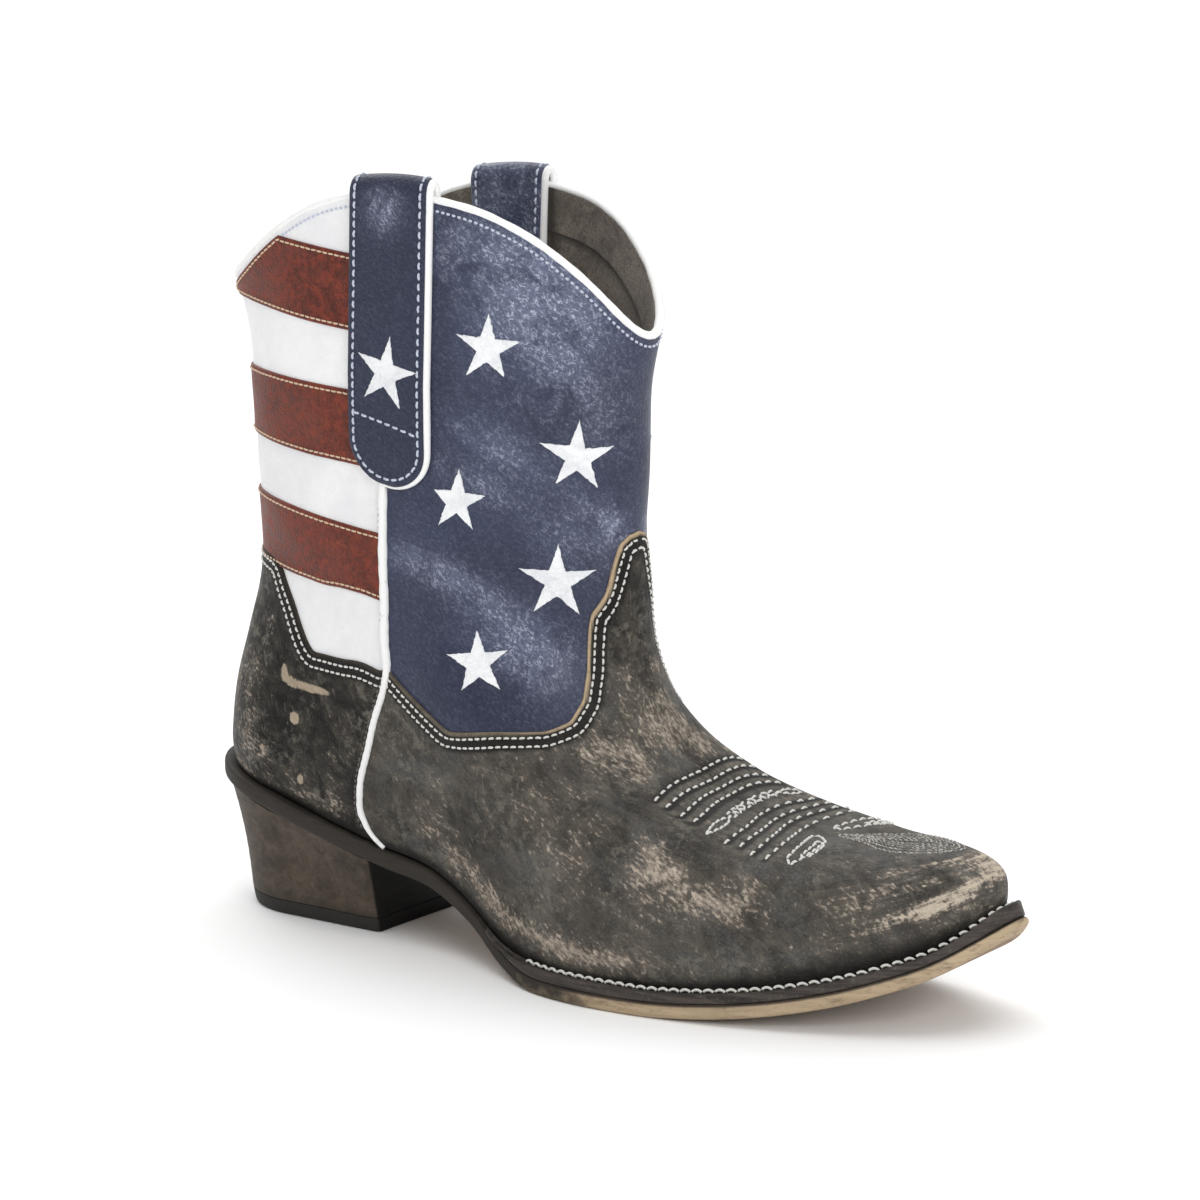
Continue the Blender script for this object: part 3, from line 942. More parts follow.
def off_edge(u, v, edge_u, edge_v):
    """Distance in millimetres of each point of a grid from its cut edge."""
    line = surface(edge_u, edge_v)
    return np.array([np.linalg.norm(row[:, None] - line[None], axis=2).min(1) for row in surface(u, v)])


col, row, fall = cut_net(320, 118)
top_v = VAMP_EDGE[0, 1]
mirror = np.abs(2 * col - 1)
edge_u = 1 - (1 - seam_u(top_v) - SEAM_GAP) * mirror
lift = 0.004 + 0.996 * row**1.15
grid_v = lift[:, None] * np.where(col <= 0.5, cut_line(VAMP_EDGE, edge_u), cut_line(VAMP_EDGE_INNER, edge_u))
pull = (seam_u(top_v) - seam_u(lift * cut_line(VAMP_EDGE, edge_u[:1])))[:, None] * mirror**3
half_u = edge_u - pull
grid_u = np.where(col <= 0.5, -half_u, half_u - 2)
from_edge = off_edge(grid_u, grid_v, grid_u[-1], grid_v[-1])
edge_band = 0.85 * smooth(from_edge, 0.9, 1.3) * (1 - smooth(from_edge, 5.6, 6.6))
foot = np.interp(s_of(grid_u), (0.70, 0.85), (0.024, 0.052))
edge_band = np.maximum(edge_band, 0.85 * (1 - smooth(grid_v / foot, 0.4, 1.0)))
vamp_rub = np.clip(np.interp(grid_v, (0.58, 0.68), (0.11, 0.04)) + rub_mark(grid_u, grid_v, RUBBED), 0, 1)
levels = np.array([row_height(line, grid_u)[0] for line in TOE_ROWS[:4] + (CHAIN,) + TOE_ROWS[4:]])
row_mark = np.clip((levels[:-1] - grid_v) / (levels[:-1] - levels[1:]), 0, 1).sum(0)
quilt = (1 - smooth(row_height(TOE_ROWS[0], grid_u)[1], 0.97, 1.03)) * smooth(abs(row_mark - 4), 0.3, 0.6)
for past in (grid_v - levels[0], levels[-1] - grid_v):
    quilt = quilt * (1 - smooth(past, 0.004, 0.008))
toe_mark = smooth(s_of(grid_u), 0.82, 0.96) * smooth(grid_v, 0.01, 0.06) * (1 - smooth(grid_v, 0.18, 0.30))
pale_cut = np.interp(s_of(grid_u), (0.5, 0.7, 0.86), (0.12, 0.35, 1.0))
vamp = panel("vamp_dark", grid_u, grid_v, UNDER, VAMP_OUT, fall, dark_hide,
             rub=vamp_rub, toe=toe_mark, dim=0.7 * smooth(grid_v, 0.68, 0.76), nick=0.0, band=edge_band,
             row=row_mark, quilt=quilt, cut=(1 - smooth(from_edge, 0.7, 1.2)) * pale_cut,
             crease=smooth(-fold_height(grid_u, grid_v), 0.10, 0.50) * smooth(grid_v, 0.56, 0.62))
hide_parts("vamp")

# Counter: the matching dark piece round the heel, stiffened inside, with a peaked top edge that
# follows the vamp's, darker than the vamp and marked by a few knocks.
KNOCKS = ((-1, 0.078, 0.160, 6, 7, 0.50), (-1, 0.110, 0.108, 6, 4, 0.62), (0, 0.045, 0.260, 8, 14, 0.36),
          (0, 0.068, 0.020, 16, 3, 0.42), (-1, 0.172, 0.034, 14, 3.5, 0.40), (-1, 0.207, 0.050, 7, 4, 0.40),
          (-1, 0.217, 0.170, 6, 8, 0.32), (-1, 0.125, 0.477, 3, 8, 0.42), (-1, 0.090, 0.325, 7, 10, 0.32),
          (1, 0.140, 0.200, 10, 8, 0.42), (1, 0.200, 0.060, 14, 5, 0.42), (1, 0.090, 0.420, 8, 8, 0.32),
          (0, 0.000, 0.480, 6, 14, 0.32))
# nicks through to the bare leather, listed the same way
NICKS = (
    (-1, 0.170, 0.263, 2.3, 2.3, 1.0), (-1, 0.165, 0.078, 1.5, 2.0, 1.0), (-1, 0.162, 0.398, 1.5, 3.0, 0.9),
    (-1, 0.175, 0.374, 3.4, 1.9, 0.9), (-1, 0.205, 0.374, 6.0, 1.7, 0.8), (-1, 0.238, 0.380, 5.0, 1.4, 0.72),
    (-1, 0.110, 0.132, 1.1, 1.3, 0.9), (1, 0.150, 0.300, 2.4, 1.8, 0.9), (1, 0.190, 0.120, 1.8, 1.8, 0.9))
col, row, fall = cut_net(200, 66)
top_v = COUNTER_EDGE[-1, 1]
mirror = np.abs(2 * col - 1)
edge_u = (seam_u(top_v) - SEAM_GAP) * mirror
lift = 0.004 + 0.996 * row
grid_v = lift[:, None] * cut_line(COUNTER_EDGE, edge_u)
pull = (seam_u(top_v) - seam_u(lift * cut_line(COUNTER_EDGE, edge_u[:1])))[:, None] * mirror**2
grid_u = np.where(col < 0.5, -1, 1) * (edge_u - pull)
from_edge = off_edge(grid_u, grid_v, grid_u[-1], grid_v[-1])
edge_band = np.maximum(0.85 * (1 - smooth(from_edge, 5.6, 6.6)), 0.9 * (1 - smooth(grid_v, 0.012, 0.030)))
counter = panel("counter_dark", grid_u, grid_v, UNDER, VAMP_OUT, fall, dark_hide,
                rub=np.clip(0.05 + rub_mark(grid_u, grid_v, KNOCKS), 0, 1), toe=0.0, dim=1.0, row=0.0,
                quilt=0.0, nick=rub_mark(grid_u, grid_v, NICKS), crease=0.0, band=edge_band,
                cut=0.06 * (1 - smooth(from_edge, 0.4, 0.8)))
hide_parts("counter")

# Side piping: a white cord in a folded strip of hide, caught in each side seam from the sole to
# the foot of the pull strap.
# radius by height share: v, millimetres
PIPING_RADIUS = np.array([(0.0, 0.7), (0.04, 1.1), (0.50, 1.2), (0.56, 1.45), (0.775, 1.45)])


def bead(name, path, outward, radius_out, radius_side, finish, closed=False, sides=10):
    """Round cord along a path, wider or flatter as its two radii say."""
    if closed:
        along = np.roll(path, -1, 0) - np.roll(path, 1, 0)
    else:
        along = np.gradient(path, axis=0)
    along = unit(along)
    outward = unit(outward - (outward * along).sum(1, keepdims=True) * along)
    beside = np.cross(along, outward)
    turn = np.linspace(0, 2 * np.pi, sides, endpoint=False)[None, :, None]
    rings = (path[:, None] + outward[:, None] * np.cos(turn) * radius_out[:, None, None]
             + beside[:, None] * np.sin(turn) * radius_side[:, None, None])
    return loft(name, rings, finish, closed=closed, sharp=75.0)


piping_white, tree, shader, at = finish_of("piping_white_hide", Specular_IOR_Level=0.4)
crimp = noise(tree, at, 620.0, 4.0, 0.65, 0.4)
fleck = ramp(tree, noise(tree, at, 300.0, 5.0, 0.7), 0.60, 0.72)
white = mixed(tree, crimp, (236, 236, 235), (250, 250, 249))
white = mixed(tree, times(tree, fleck, 0.3), white, (176, 172, 166))
feed(tree, shader, Base_Color=white, Roughness=ramp(tree, crimp, 0.2, 0.8, 0.5, 0.68),
     Normal=bump(tree, crimp, 0.35, 0.0005))
pipe_v = np.linspace(0.0, PIPING_RADIUS[-1, 0], 210)
for name, node, side in (("side_piping_outer", "side_piping_lateral", -1),
                         ("side_piping_inner", "side_piping_medial", 1)):
    pipe_u = side * seam_u(pipe_v)
    swell = 1 + 0.05 * np.sin(pipe_v * 260.0) + 0.04 * np.sin(pipe_v * 117.0 + 1.0)
    high = np.interp(pipe_v, (0.0, 0.50, 0.55, 0.775), (0.8, 0.8, 0.4, 0.4))
    swell = swell * np.interp(pipe_v, *PIPING_RADIUS.T)
    cord = bead(name, hide(pipe_u, pipe_v, high), facing_out(pipe_u, pipe_v), swell, swell, piping_white)
    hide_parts(node)

# Collar binding: a white strip of hide rolled over the raw top edge of shaft and lining and sewn
# through, so the mouth ends in a full round bead.
ring = np.linspace(-1, 1, 321)[:-1]
rim_path = skin(ring, 1.0, -1.2) - np.array((0, 0, 0.9))
swell = 1 + 0.03 * np.sin(ring * 190.0) + 0.03 * np.sin(ring * 83.0)
binding = bead("collar_binding_white", rim_path, facing_out(ring, 1.0), 1.5 * swell, 1.22 * swell,
               piping_white, closed=True, sides=14)
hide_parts("collar_binding")

# Pull straps: a doubled strip of blue hide on each side, looped over the collar and sewn down
# outside and inside, piped with white along its edges and stitched just inside them.
STRAP_IN, STRAP_OUT, STRAP_HALF_WIDTH, STRAP_INSIDE = 0.7, 2.8, 14.2, 24.0
STRAP_ARCH_IN, STRAP_ARCH_OUT = 3.4, 5.4
STRAP_SET_BACK = 4.0
# height share at the foot, distance up the outside leg and millimetres to a whole height share there
STRAP_FOOT_V, STRAP_LEG, MM_PER_V = 0.7715, 88.4, 388.0


def s_at_x(x, v):
    """Length share s where the side view at height share v reaches x."""
    s = np.linspace(0, 1, 301)
    return np.interp(x, side_view(s, np.full(301, v))[0], s)


def on_grid(grid, r, c):
    """Point at fractional row and column of a grid, and the direction square to the grid there."""
    r = np.clip(r, 0, grid.shape[0] - 1.001)
    c = np.clip(c, 0, grid.shape[1] - 1.001)
    i, j = r.astype(int), c.astype(int)
    a, b = (r - i)[:, None], (c - j)[:, None]
    p00, p01, p10, p11 = grid[i, j], grid[i, j + 1], grid[i + 1, j], grid[i + 1, j + 1]
    down = (p10 - p00) * (1 - b) + (p11 - p01) * b
    over = (p01 - p00) * (1 - a) + (p11 - p10) * a
    point = p00 * (1 - a) * (1 - b) + p01 * (1 - a) * b + p10 * a * (1 - b) + p11 * a * b
    return point, unit(np.cross(down, over))


leg_t = np.concatenate([STRAP_HALF_WIDTH * (1 - np.cos(np.linspace(0.06, 0.5 * np.pi, 22))),
                        np.linspace(STRAP_HALF_WIDTH + 1.4, STRAP_LEG, 52)])
leg_v = STRAP_FOOT_V + leg_t / MM_PER_V
across = np.sin(0.5 * np.pi * np.linspace(-1, 1, 33))
edge_fall = np.interp(np.abs(across), (0.0, 0.93, 0.985, 1.0), (0.0, 0.0, 0.15, 0.5))
end_fall = np.interp(leg_t, (0.0, 0.4, 1.2, 3.0), (0.5, 0.2, 0.05, 0.0))
straps = {}
for name, node, side in (("pull_strap_outer", "pull_strap_lateral", -1),
                         ("pull_strap_inner", "pull_strap_medial", 1)):
    legs = []
    for t, v in zip(leg_t, leg_v):
        wide = STRAP_HALF_WIDTH * math.sqrt(1 - np.clip(1 - t / STRAP_HALF_WIDTH, 0, 1)**2)
        centre = float(np.interp(v, (0.77, 0.86, 1.0), (86.2, 86.2, 88.6)))
        centre -= STRAP_SET_BACK if side > 0 else 0.0
        legs.append(side * u_of(s_at_x(centre + wide * across, v)))
    legs = np.array(legs)
    sheets = []
    for out, arch, sign in ((STRAP_OUT, STRAP_ARCH_OUT, 1.0), (STRAP_IN, STRAP_ARCH_IN, 0.0)):
        fall = sign * np.maximum(edge_fall, end_fall[:, None]) * (STRAP_OUT - STRAP_IN)
        outside = skin(legs, leg_v[:, None], out - fall)
        down_v = 1.0 - np.linspace(0, STRAP_INSIDE, 18) / MM_PER_V
        inside = skin(legs[-1], down_v[:, None], -WALL - out + sign * edge_fall * (STRAP_OUT - STRAP_IN))
        bend = np.linspace(0, np.pi, 26)[1:-1, None, None]
        over = (0.5 * (outside[-1] + inside[0]) + 0.5 * (outside[-1] - inside[0]) * np.cos(bend)
                + (arch - sign * edge_fall[None, :, None]) * np.array((0.0, 0.0, 1.0)) * np.sin(bend))
        sheets.append(np.concatenate([outside, over, inside]))
    # a gleam across the strap, some rows below the bend
    gleam = np.exp(-((np.arange(len(sheets[0])) - 70.0) / 5.0)**2)[:, None]
    gleam = gleam * np.exp(-((across + 0.1) / 0.4)**2)
    strap = shell(name, sheets[0], sheets[1], blue_hide, shine=np.maximum(0.8 * gleam, 0.45 * (side > 0)),
                  deep=0.8 * (side < 0))
    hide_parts(node)
    straps[side] = sheets[0]
    # its piping: down the front edge, round the foot and up the back edge, thinner there
    mid = 0.5 * (sheets[0] + sheets[1])
    rows = len(mid) - 1
    edge = np.concatenate([mid[rows:0:-1, -1], mid[0, ::-1], mid[1:, 0]])
    inside = np.concatenate([mid[rows:0:-1, -2], mid[1, ::-1], mid[1:, 1]])
    path = evenly(np.concatenate([edge, unit(edge - inside)], 1), 300)
    edge, reach = path[:, :3], path[:, 3:]
    thick = np.interp(np.linspace(0, 1, 300), (0, 0.40, 0.47, 0.53, 1), (1.3, 1.3, 1.0, 0.6, 0.6))
    path = edge + reach * (0.2 * thick)[:, None]
    pipe = bead(name.replace("strap", "strap_piping"), path, reach, thick, thick, piping_white)

# Stars: five-pointed pieces of white hide laid on the blue front on both sides, and one on each
# pull strap, with slightly ragged cut points.
STAR_HEIGHT, STAR_SUNK, STAR_WAIST = 0.42, 0.3, 0.37
# s, v, radius in millimetres, turn in degrees
STARS = ((0.785, 0.904, 10.4, -4.0), (0.938, 0.870, 11.0, -3.0), (0.715, 0.778, 9.8, -4.0),
         (0.900, 0.754, 11.5, -2.0), (0.706, 0.618, 10.8, 8.0))
# on the strap: radius, turn, distance up from its foot, step towards the front
STRAP_STAR = (11.0, 8.0, 36.2, 0.9)


def star_rings(radius, turn, seed):
    """Rings of points from the middle of a star to its outline, in its own plane."""
    ragged = np.random.default_rng(seed)
    corner = np.arange(11) * np.pi / 5 + 0.5 * np.pi + math.radians(turn)
    far = np.where(np.arange(11) % 2 == 0, 1.0, STAR_WAIST)
    far = far * (1 + 0.07 * np.append(ragged.standard_normal(10), 0))
    far[-1] = far[0]
    tips = far[:, None] * np.stack([np.cos(corner), np.sin(corner)], -1)
    along = (np.arange(12) / 12)[:, None]
    edge = np.concatenate([tips[k] + (tips[k + 1] - tips[k]) * along for k in range(10)])
    edge = edge * (1 + 0.026 * ragged.standard_normal(len(edge)))[:, None]
    share = np.append(np.linspace(0.0, 0.93, 7), (0.98, 1.0))
    return radius * share[:, None, None] * edge[None], share


def star_piece(name, stars):
    """One mesh of all the listed stars, each a run of rings from its middle outwards."""
    points, faces = [], []
    for rings in stars:
        faces += grid_faces(len(rings), rings.shape[1], True, sum(map(len, points)))
        points.append(rings.reshape(-1, 3))
    return piece(name, np.concatenate(points), faces, star_white, weld=0.004)


def moved(u, v, go):
    """Place on the upper after a small step in space, taken along the leather."""
    du = (surface(u + 0.002, v) - surface(u - 0.002, v)) / 0.004
    dv = (surface(u, v + 0.002) - surface(u, v - 0.002)) / 0.004
    uu, uv, vv = (du * du).sum(-1), (du * dv).sum(-1), (dv * dv).sum(-1)
    gu, gv = (du * go).sum(-1), (dv * go).sum(-1)
    base = uu * vv - uv**2
    return u + (gu * vv - gv * uv) / base, v + (gv * uu - gu * uv) / base


def laid_out(u0, v0, ab, side):
    """Walks from a point over the hide by a and b millimetres, along and up the leather."""
    u, v = np.full(ab.shape[:-1], u0), np.full(ab.shape[:-1], v0)
    up = np.array((0.0, 0.0, 1.0))
    for _ in range(6):
        normal = facing_out(u, v)
        rising = unit(up - normal * (normal @ up)[..., None])
        ahead = unit(np.cross(rising, normal) * -side)
        u, v = moved(u, v, (ahead * ab[..., :1] + rising * ab[..., 1:]) / 6)
    return u, v


star_white, tree, shader, at = finish_of("star_white_hide", Specular_IOR_Level=0.35)
height = shared(tree, grain_group, 0, Where=at, Pebbles=900.0, Pores=2200.0)
fleck = ramp(tree, noise(tree, at, 520.0, 5.0, 0.75), 0.50, 0.72)
drift = shared(tree, drift_group, 0, Where=at, Size=120.0)
white = mixed(tree, drift, (222, 224, 228), (246, 247, 248))
white = mixed(tree, times(tree, fleck, 0.28), white, (176, 179, 188))
feed(tree, shader, Base_Color=white, Roughness=ramp(tree, fleck, 0.0, 1.0, 0.55, 0.7),
     Normal=bump(tree, height, 0.4, 0.0005))
laid = []
for side in (-1, 1):
    for k, (s, v, radius, turn) in enumerate(STARS):
        flat, share = star_rings(radius, turn * -side, 10 * k + side + 2)
        u1, v1 = laid_out(side * float(u_of(s)), v, flat, side)
        crown = STAR_HEIGHT * np.interp(share, (0.0, 0.93, 0.98, 1.0), (1.0, 1.0, 0.85, 0.35))[:, None]
        laid.append(np.concatenate([hide(u1, v1, crown), hide(u1[-1:], v1[-1:], -STAR_SUNK)]))
stars = star_piece("stars_white", laid)
radius, turn, up_leg, forward = STRAP_STAR
laid = []
for side, sheet in straps.items():
    flat, share = star_rings(radius, turn * side, 90 + side)
    r = np.interp(up_leg + flat[..., 1], leg_t, np.arange(len(leg_t)))
    c = np.interp((flat[..., 0] + forward) / STRAP_HALF_WIDTH, across, np.arange(len(across)))
    crown = STAR_HEIGHT * np.interp(share, (0.0, 0.93, 0.98, 1.0), (1.0, 1.0, 0.8, 0.0))[:, None, None]
    point, normal = (q.reshape(flat.shape[:2] + (3,)) for q in on_grid(sheet, r.ravel(), c.ravel()))
    normal = normal * np.sign(normal[..., 1:2] * side)
    laid.append(np.concatenate([point + normal * crown, (point - normal * STAR_SUNK)[-1:]]))
strap_stars = star_piece("strap_stars_white", laid)

# Welt: a strip of dark hide sewn round the forefoot between upper and outsole, its top face
# grooved for the row of stitches and its edge trimmed with the sole's.
WELT_THICK, WELT_THIN, WELT_START_X, WELT_TAPER, WELT_TIP_TRIM = 3.0, 0.7, 126.0, 26.0, 2.4
# section: share from the inner to the outer edge, millimetres in from the edge, share of the thickness, step
WELT_SECTION = (
    (0.0, 0, 0, 0), (0.0, 0, 1, 0), (0.22, 0, 1, 0), (0.32, 0, 1, -0.3), (0.40, 0, 1, -0.42),
    (0.48, 0, 1, -0.3), (0.58, 0, 1, 0), (1.0, 1.0, 1, 0), (1.0, 0.45, 1, -0.12), (1.0, 0.12, 1, -0.45),
    (1.0, 0.0, 1, -0.95), (1.0, 0.0, 0, 0.5), (1.0, 0.25, 0, 0.1), (1.0, 0.5, 0, 0.0))
welt_hide, tree, shader, at = finish_of("welt_dark_hide", Specular_IOR_Level=0.35)
fibre = noise(tree, stretched(tree, at, 60.0, 60.0, 800.0), 1.0, 5.0, 0.7)
drift = shared(tree, drift_group, 0, Where=at, Size=60.0)
grit = noise(tree, at, 520.0, 6.0, 0.76)
brown = layered(
    tree, mixed(tree, ramp(tree, fibre, 0.32, 0.68), (26, 23, 21), (76, 68, 62)),
    (ramp(tree, grit, 0.52, 0.70, 0.0, 0.5), (112, 102, 93)),
    (times(tree, drift, 0.35), (58, 52, 47)))
feed(tree, shader, Base_Color=brown, Roughness=ramp(tree, fibre, 0.2, 0.8, 0.45, 0.65),
     Normal=bump(tree, fibre, 0.3, 0.0004))
welt_u = np.linspace(u_of(0.452), 2 - u_of(0.452), 300)
inner_edge = skin(welt_u, 0.05, 0.9)[:, :2]
fine = closed_outline(60)
outer_edge = fine[np.argmin(np.linalg.norm(inner_edge[:, None] - fine[None], axis=2), axis=1)]
outer_edge = np.stack([np.convolve(np.pad(line, 3, mode="edge"), np.ones(7) / 7, "valid")
                       for line in outer_edge.T], -1)
full = smooth(inner_edge[:, 0], WELT_START_X, WELT_START_X + WELT_TAPER)
thick = WELT_THIN + (WELT_THICK - WELT_THIN) * full
tip = at_tip(outer_edge[:, 0])
outer_edge = outer_edge + unit(inner_edge - outer_edge) * (WELT_TIP_TRIM * tip)[:, None]
out = outer_edge - inner_edge
rings = []
for share, back, level, drop in WELT_SECTION:
    plan = inner_edge + out * share + unit(out) * (1.3 * (1 - level) * share * tip - back)[:, None]
    z = sole_top(plan[:, 0]) + 0.02 + thick * level + drop + level * (1.0 + 1.9 * share) * tip
    rings.append(np.concatenate([plan, z[:, None]], 1))
welt = loft("welt_strip", np.array(rings).transpose(1, 0, 2), welt_hide)
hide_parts("welt")

# Stitches: waxed thread in lock stitch along every sewn edge: one row on stripes, straps, collar
# and side seams, two on vamp and counter, and a coarser row through the welt.
# height of a row over the upper, and its distance in from the cut edge, seam or collar
ON_VAMP, ON_STRIPE, ON_SHAFT = VAMP_OUT + 0.02, STRIPE_OUT + 0.02, 0.02
EDGE_INSETS, STRIPE_INSET, SEAM_INSET, COLLAR_DROP = (2.1, 5.0), 1.3, 1.9, 3.9
STRAP_INSET_BACK, STRAP_INSET_FRONT, STRAP_PITCH = 2.4, 1.9, 3.0
# the straight row across a strap: distance up from its foot at the back and at the front
STRAP_CROSS_ROW = (22.2, 19.0)
# share of the welt's width at its row of stitches, and their pitch
WELT_GROOVE, WELT_PITCH = 0.37, 3.5
sewing = bpy.data.node_groups.new("sewn_row", "GeometryNodeTree")
for label, kind in (("Holes", "Geometry"), ("Stitch Length", "Float"), ("Thread Width", "Float"),
                    ("Uneven", "Float"), ("Seed", "Int"), ("Thread", "Material")):
    sewing.interface.new_socket(label, in_out="INPUT", socket_type="NodeSocket" + kind)
sewing.interface.new_socket("Stitches", in_out="OUTPUT", socket_type="NodeSocketGeometry")
given = sewing.nodes.new("NodeGroupInput").outputs
result = sewing.nodes.new("NodeGroupOutput").inputs


def direction(label):
    return wire(sewing, "GeometryNodeInputNamedAttribute", 0, {"data_type": "FLOAT_VECTOR"}, Name=label)


def point_at(x, z):
    return wire(sewing, "ShaderNodeCombineXYZ", X=x, Z=z)


half_length = times(sewing, given["Stitch Length"], 0.5)
dip = times(sewing, given["Thread Width"], -0.45)
arch = wire(sewing, "GeometryNodeCurveQuadraticBezier", Resolution=5,
            Start=point_at(times(sewing, half_length, -1.0), dip),
            Middle=point_at(0.0, given["Thread Width"]), End=point_at(half_length, dip))
round_thread = wire(sewing, "GeometryNodeCurvePrimitiveCircle", Resolution=6,
                    Radius=times(sewing, given["Thread Width"], 0.5))
one = wire(sewing, "GeometryNodeCurveToMesh", i0=arch, Profile_Curve=round_thread, Fill_Caps=True)
one = wire(sewing, "GeometryNodeSetShadeSmooth", i0=one)
turned = wire(sewing, "FunctionNodeAlignRotationToVector", props={"axis": "Z"}, Vector=direction("up"))
turned = wire(sewing, "FunctionNodeAlignRotationToVector", props={"axis": "X", "pivot_axis": "Z"},
              Rotation=turned, Vector=direction("along"))
wander = wire(sewing, "FunctionNodeRandomValue", 1, {"data_type": "FLOAT"}, Seed=given["Seed"],
              i2=times(sewing, given["Uneven"], -1.0), i3=given["Uneven"])
wander = wire(sewing, "FunctionNodeEulerToRotation", i0=point_at(0.0, wander))
turned = wire(sewing, "FunctionNodeRotateRotation", props={"rotation_space": "LOCAL"}, Rotation=turned,
              i1=wander)
holes = wire(sewing, "GeometryNodeMeshToPoints", Mesh=given["Holes"])
placed = wire(sewing, "GeometryNodeInstanceOnPoints", Points=holes, Instance=one, Rotation=turned)
real = wire(sewing, "GeometryNodeRealizeInstances", Geometry=placed)
real = wire(sewing, "GeometryNodeSetMaterial", Geometry=real, Material=given["Thread"])
sewing.links.new(real, result["Stitches"])


def thread_of(name, dark, light, gloss=0.3, size=1500.0, spread=None):
    """Twisted thread between two shades, parted more sharply where a spread is given."""
    made, tree, shader, at = finish_of(name, Specular_IOR_Level=gloss)
    ply = noise(tree, at, size, 3.0, 0.6)
    shade = ramp(tree, ply, *spread) if spread else ply
    feed(tree, shader, Base_Color=mixed(tree, shade, dark, light),
         Roughness=ramp(tree, ply, 0.2, 0.8, 0.6, 0.8), Normal=bump(tree, ply, 0.3, 0.0003))
    return made


def row_on_hide(u, v, lift, pitch):
    """Stitch places along a line over the hide: point, run and outward direction at even distances."""
    far = run_length(surface(u, v))
    at = np.arange(0.5 * pitch, far[-1] - 0.3 * pitch, pitch)
    uv = [[np.interp(at + d * pitch, far, q) for q in (u, v)] for d in (-0.3, 0.0, 0.3)]
    ends = [hide(*q, lift) for q in uv]
    return np.stack([ends[1], ends[2] - ends[0], facing_out(*uv[1])], 1)


def inset(u, v, distance, trim=True):
    """Line moved sideways over the hide, to the left of its run seen from outside, its overrun trimmed."""
    line, normal = surface(u, v), facing_out(u, v)
    along = np.gradient(line, axis=0)
    u2, v2 = moved(u, v, unit(np.cross(normal, along)) * distance)
    away = np.linalg.norm(surface(u2, v2)[:, None] - line[None], axis=2).min(1)
    keep = (away > 0.93 * abs(distance)) | (not trim)
    return u2[keep], v2[keep]


def sew(name, rows, length, width, seed, thread):
    """One mesh of stitches from the listed places, made by the sewing tree and then kept plain."""
    places = np.concatenate(rows)
    mesh = bpy.data.meshes.new(name)
    mesh.from_pydata(((places[:, 0] - FRAME_ORIGIN) * MM).tolist(), [], [])
    for label, k in (("along", 1), ("up", 2)):
        layer = mesh.attributes.new(label, "FLOAT_VECTOR", "POINT")
        layer.data.foreach_set("vector", places[:, k].ravel().astype(np.float32))
    body = bpy.data.objects.new(name, mesh)
    bpy.context.collection.objects.link(body)
    step = body.modifiers.new("sewing", "NODES")
    step.node_group = sewing
    values = {"Stitch Length": length * MM, "Thread Width": width * MM, "Uneven": 0.09, "Seed": seed,
              "Thread": thread}
    for entry in sewing.interface.items_tree:
        if entry.item_type == "SOCKET" and entry.name in values:
            step[entry.identifier] = values[entry.name]
    graph = bpy.context.evaluated_depsgraph_get()
    plain = bpy.data.meshes.new_from_object(body.evaluated_get(graph))
    body.modifiers.remove(step)
    body.data = plain
    bpy.data.meshes.remove(mesh)
    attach(body, "root")


pale_thread = thread_of("stitch_thread", (188, 186, 180), (236, 235, 230))
seam_at = float(seam_u(VAMP_EDGE[0, 1]))
vamp_u, counter_u = np.linspace(seam_at + 0.004, 1.0, 500), np.linspace(0.0, seam_at - 0.004, 500)
edge_rows = []
for table, u, side in ((VAMP_EDGE, vamp_u, -1), (VAMP_EDGE_INNER, vamp_u, 1),
                       (COUNTER_EDGE, counter_u, -1), (COUNTER_EDGE, counter_u, 1)):
    for distance in EDGE_INSETS:
        line = inset(side * u, cut_line(table, u), distance * side)
        edge_rows.append(row_on_hide(*line, ON_VAMP, pitch=2.4))
sew("edge_stitches", edge_rows, length=1.5, width=0.74, seed=3, thread=pale_thread)

stripe_rows = []
for grid_u, grid_v in stripe_edges:
    for r, distance in ((0, -STRIPE_INSET), (-1, STRIPE_INSET)):
        stripe_rows.append(row_on_hide(*inset(grid_u[r], grid_v[r], distance), ON_STRIPE, pitch=2.3))
tan_thread = thread_of("stripe_thread", (190, 160, 132), (228, 206, 180))
sew("stripe_stitches", stripe_rows, length=1.75, width=0.6, seed=5, thread=tan_thread)

collar_u = np.linspace(-1, 1, 700)
collar_row = [row_on_hide(collar_u, v_below_collar(s_of(collar_u), COLLAR_DROP), ON_SHAFT, pitch=1.9)]
seam_row = []
for side in (-1, 1):
    v = np.linspace(0.03, 0.765, 400)
    u = side * seam_u(v)
    for part, lift in ((v < 0.48, ON_VAMP), (v > 0.545, ON_SHAFT)):
        seam_row.append(row_on_hide(*inset(u[part], v[part], -SEAM_INSET * side), lift, pitch=1.9))
cool_thread = thread_of("shaft_thread", (164, 171, 190), (216, 221, 233))
sew("collar_stitches", collar_row, length=0.75, width=0.82, seed=7, thread=cool_thread)
grey_thread = thread_of("seam_thread", (82, 78, 73), (132, 126, 118), gloss=0.25)
sew("seam_stitches", seam_row, length=1.1, width=0.45, seed=8, thread=grey_thread)

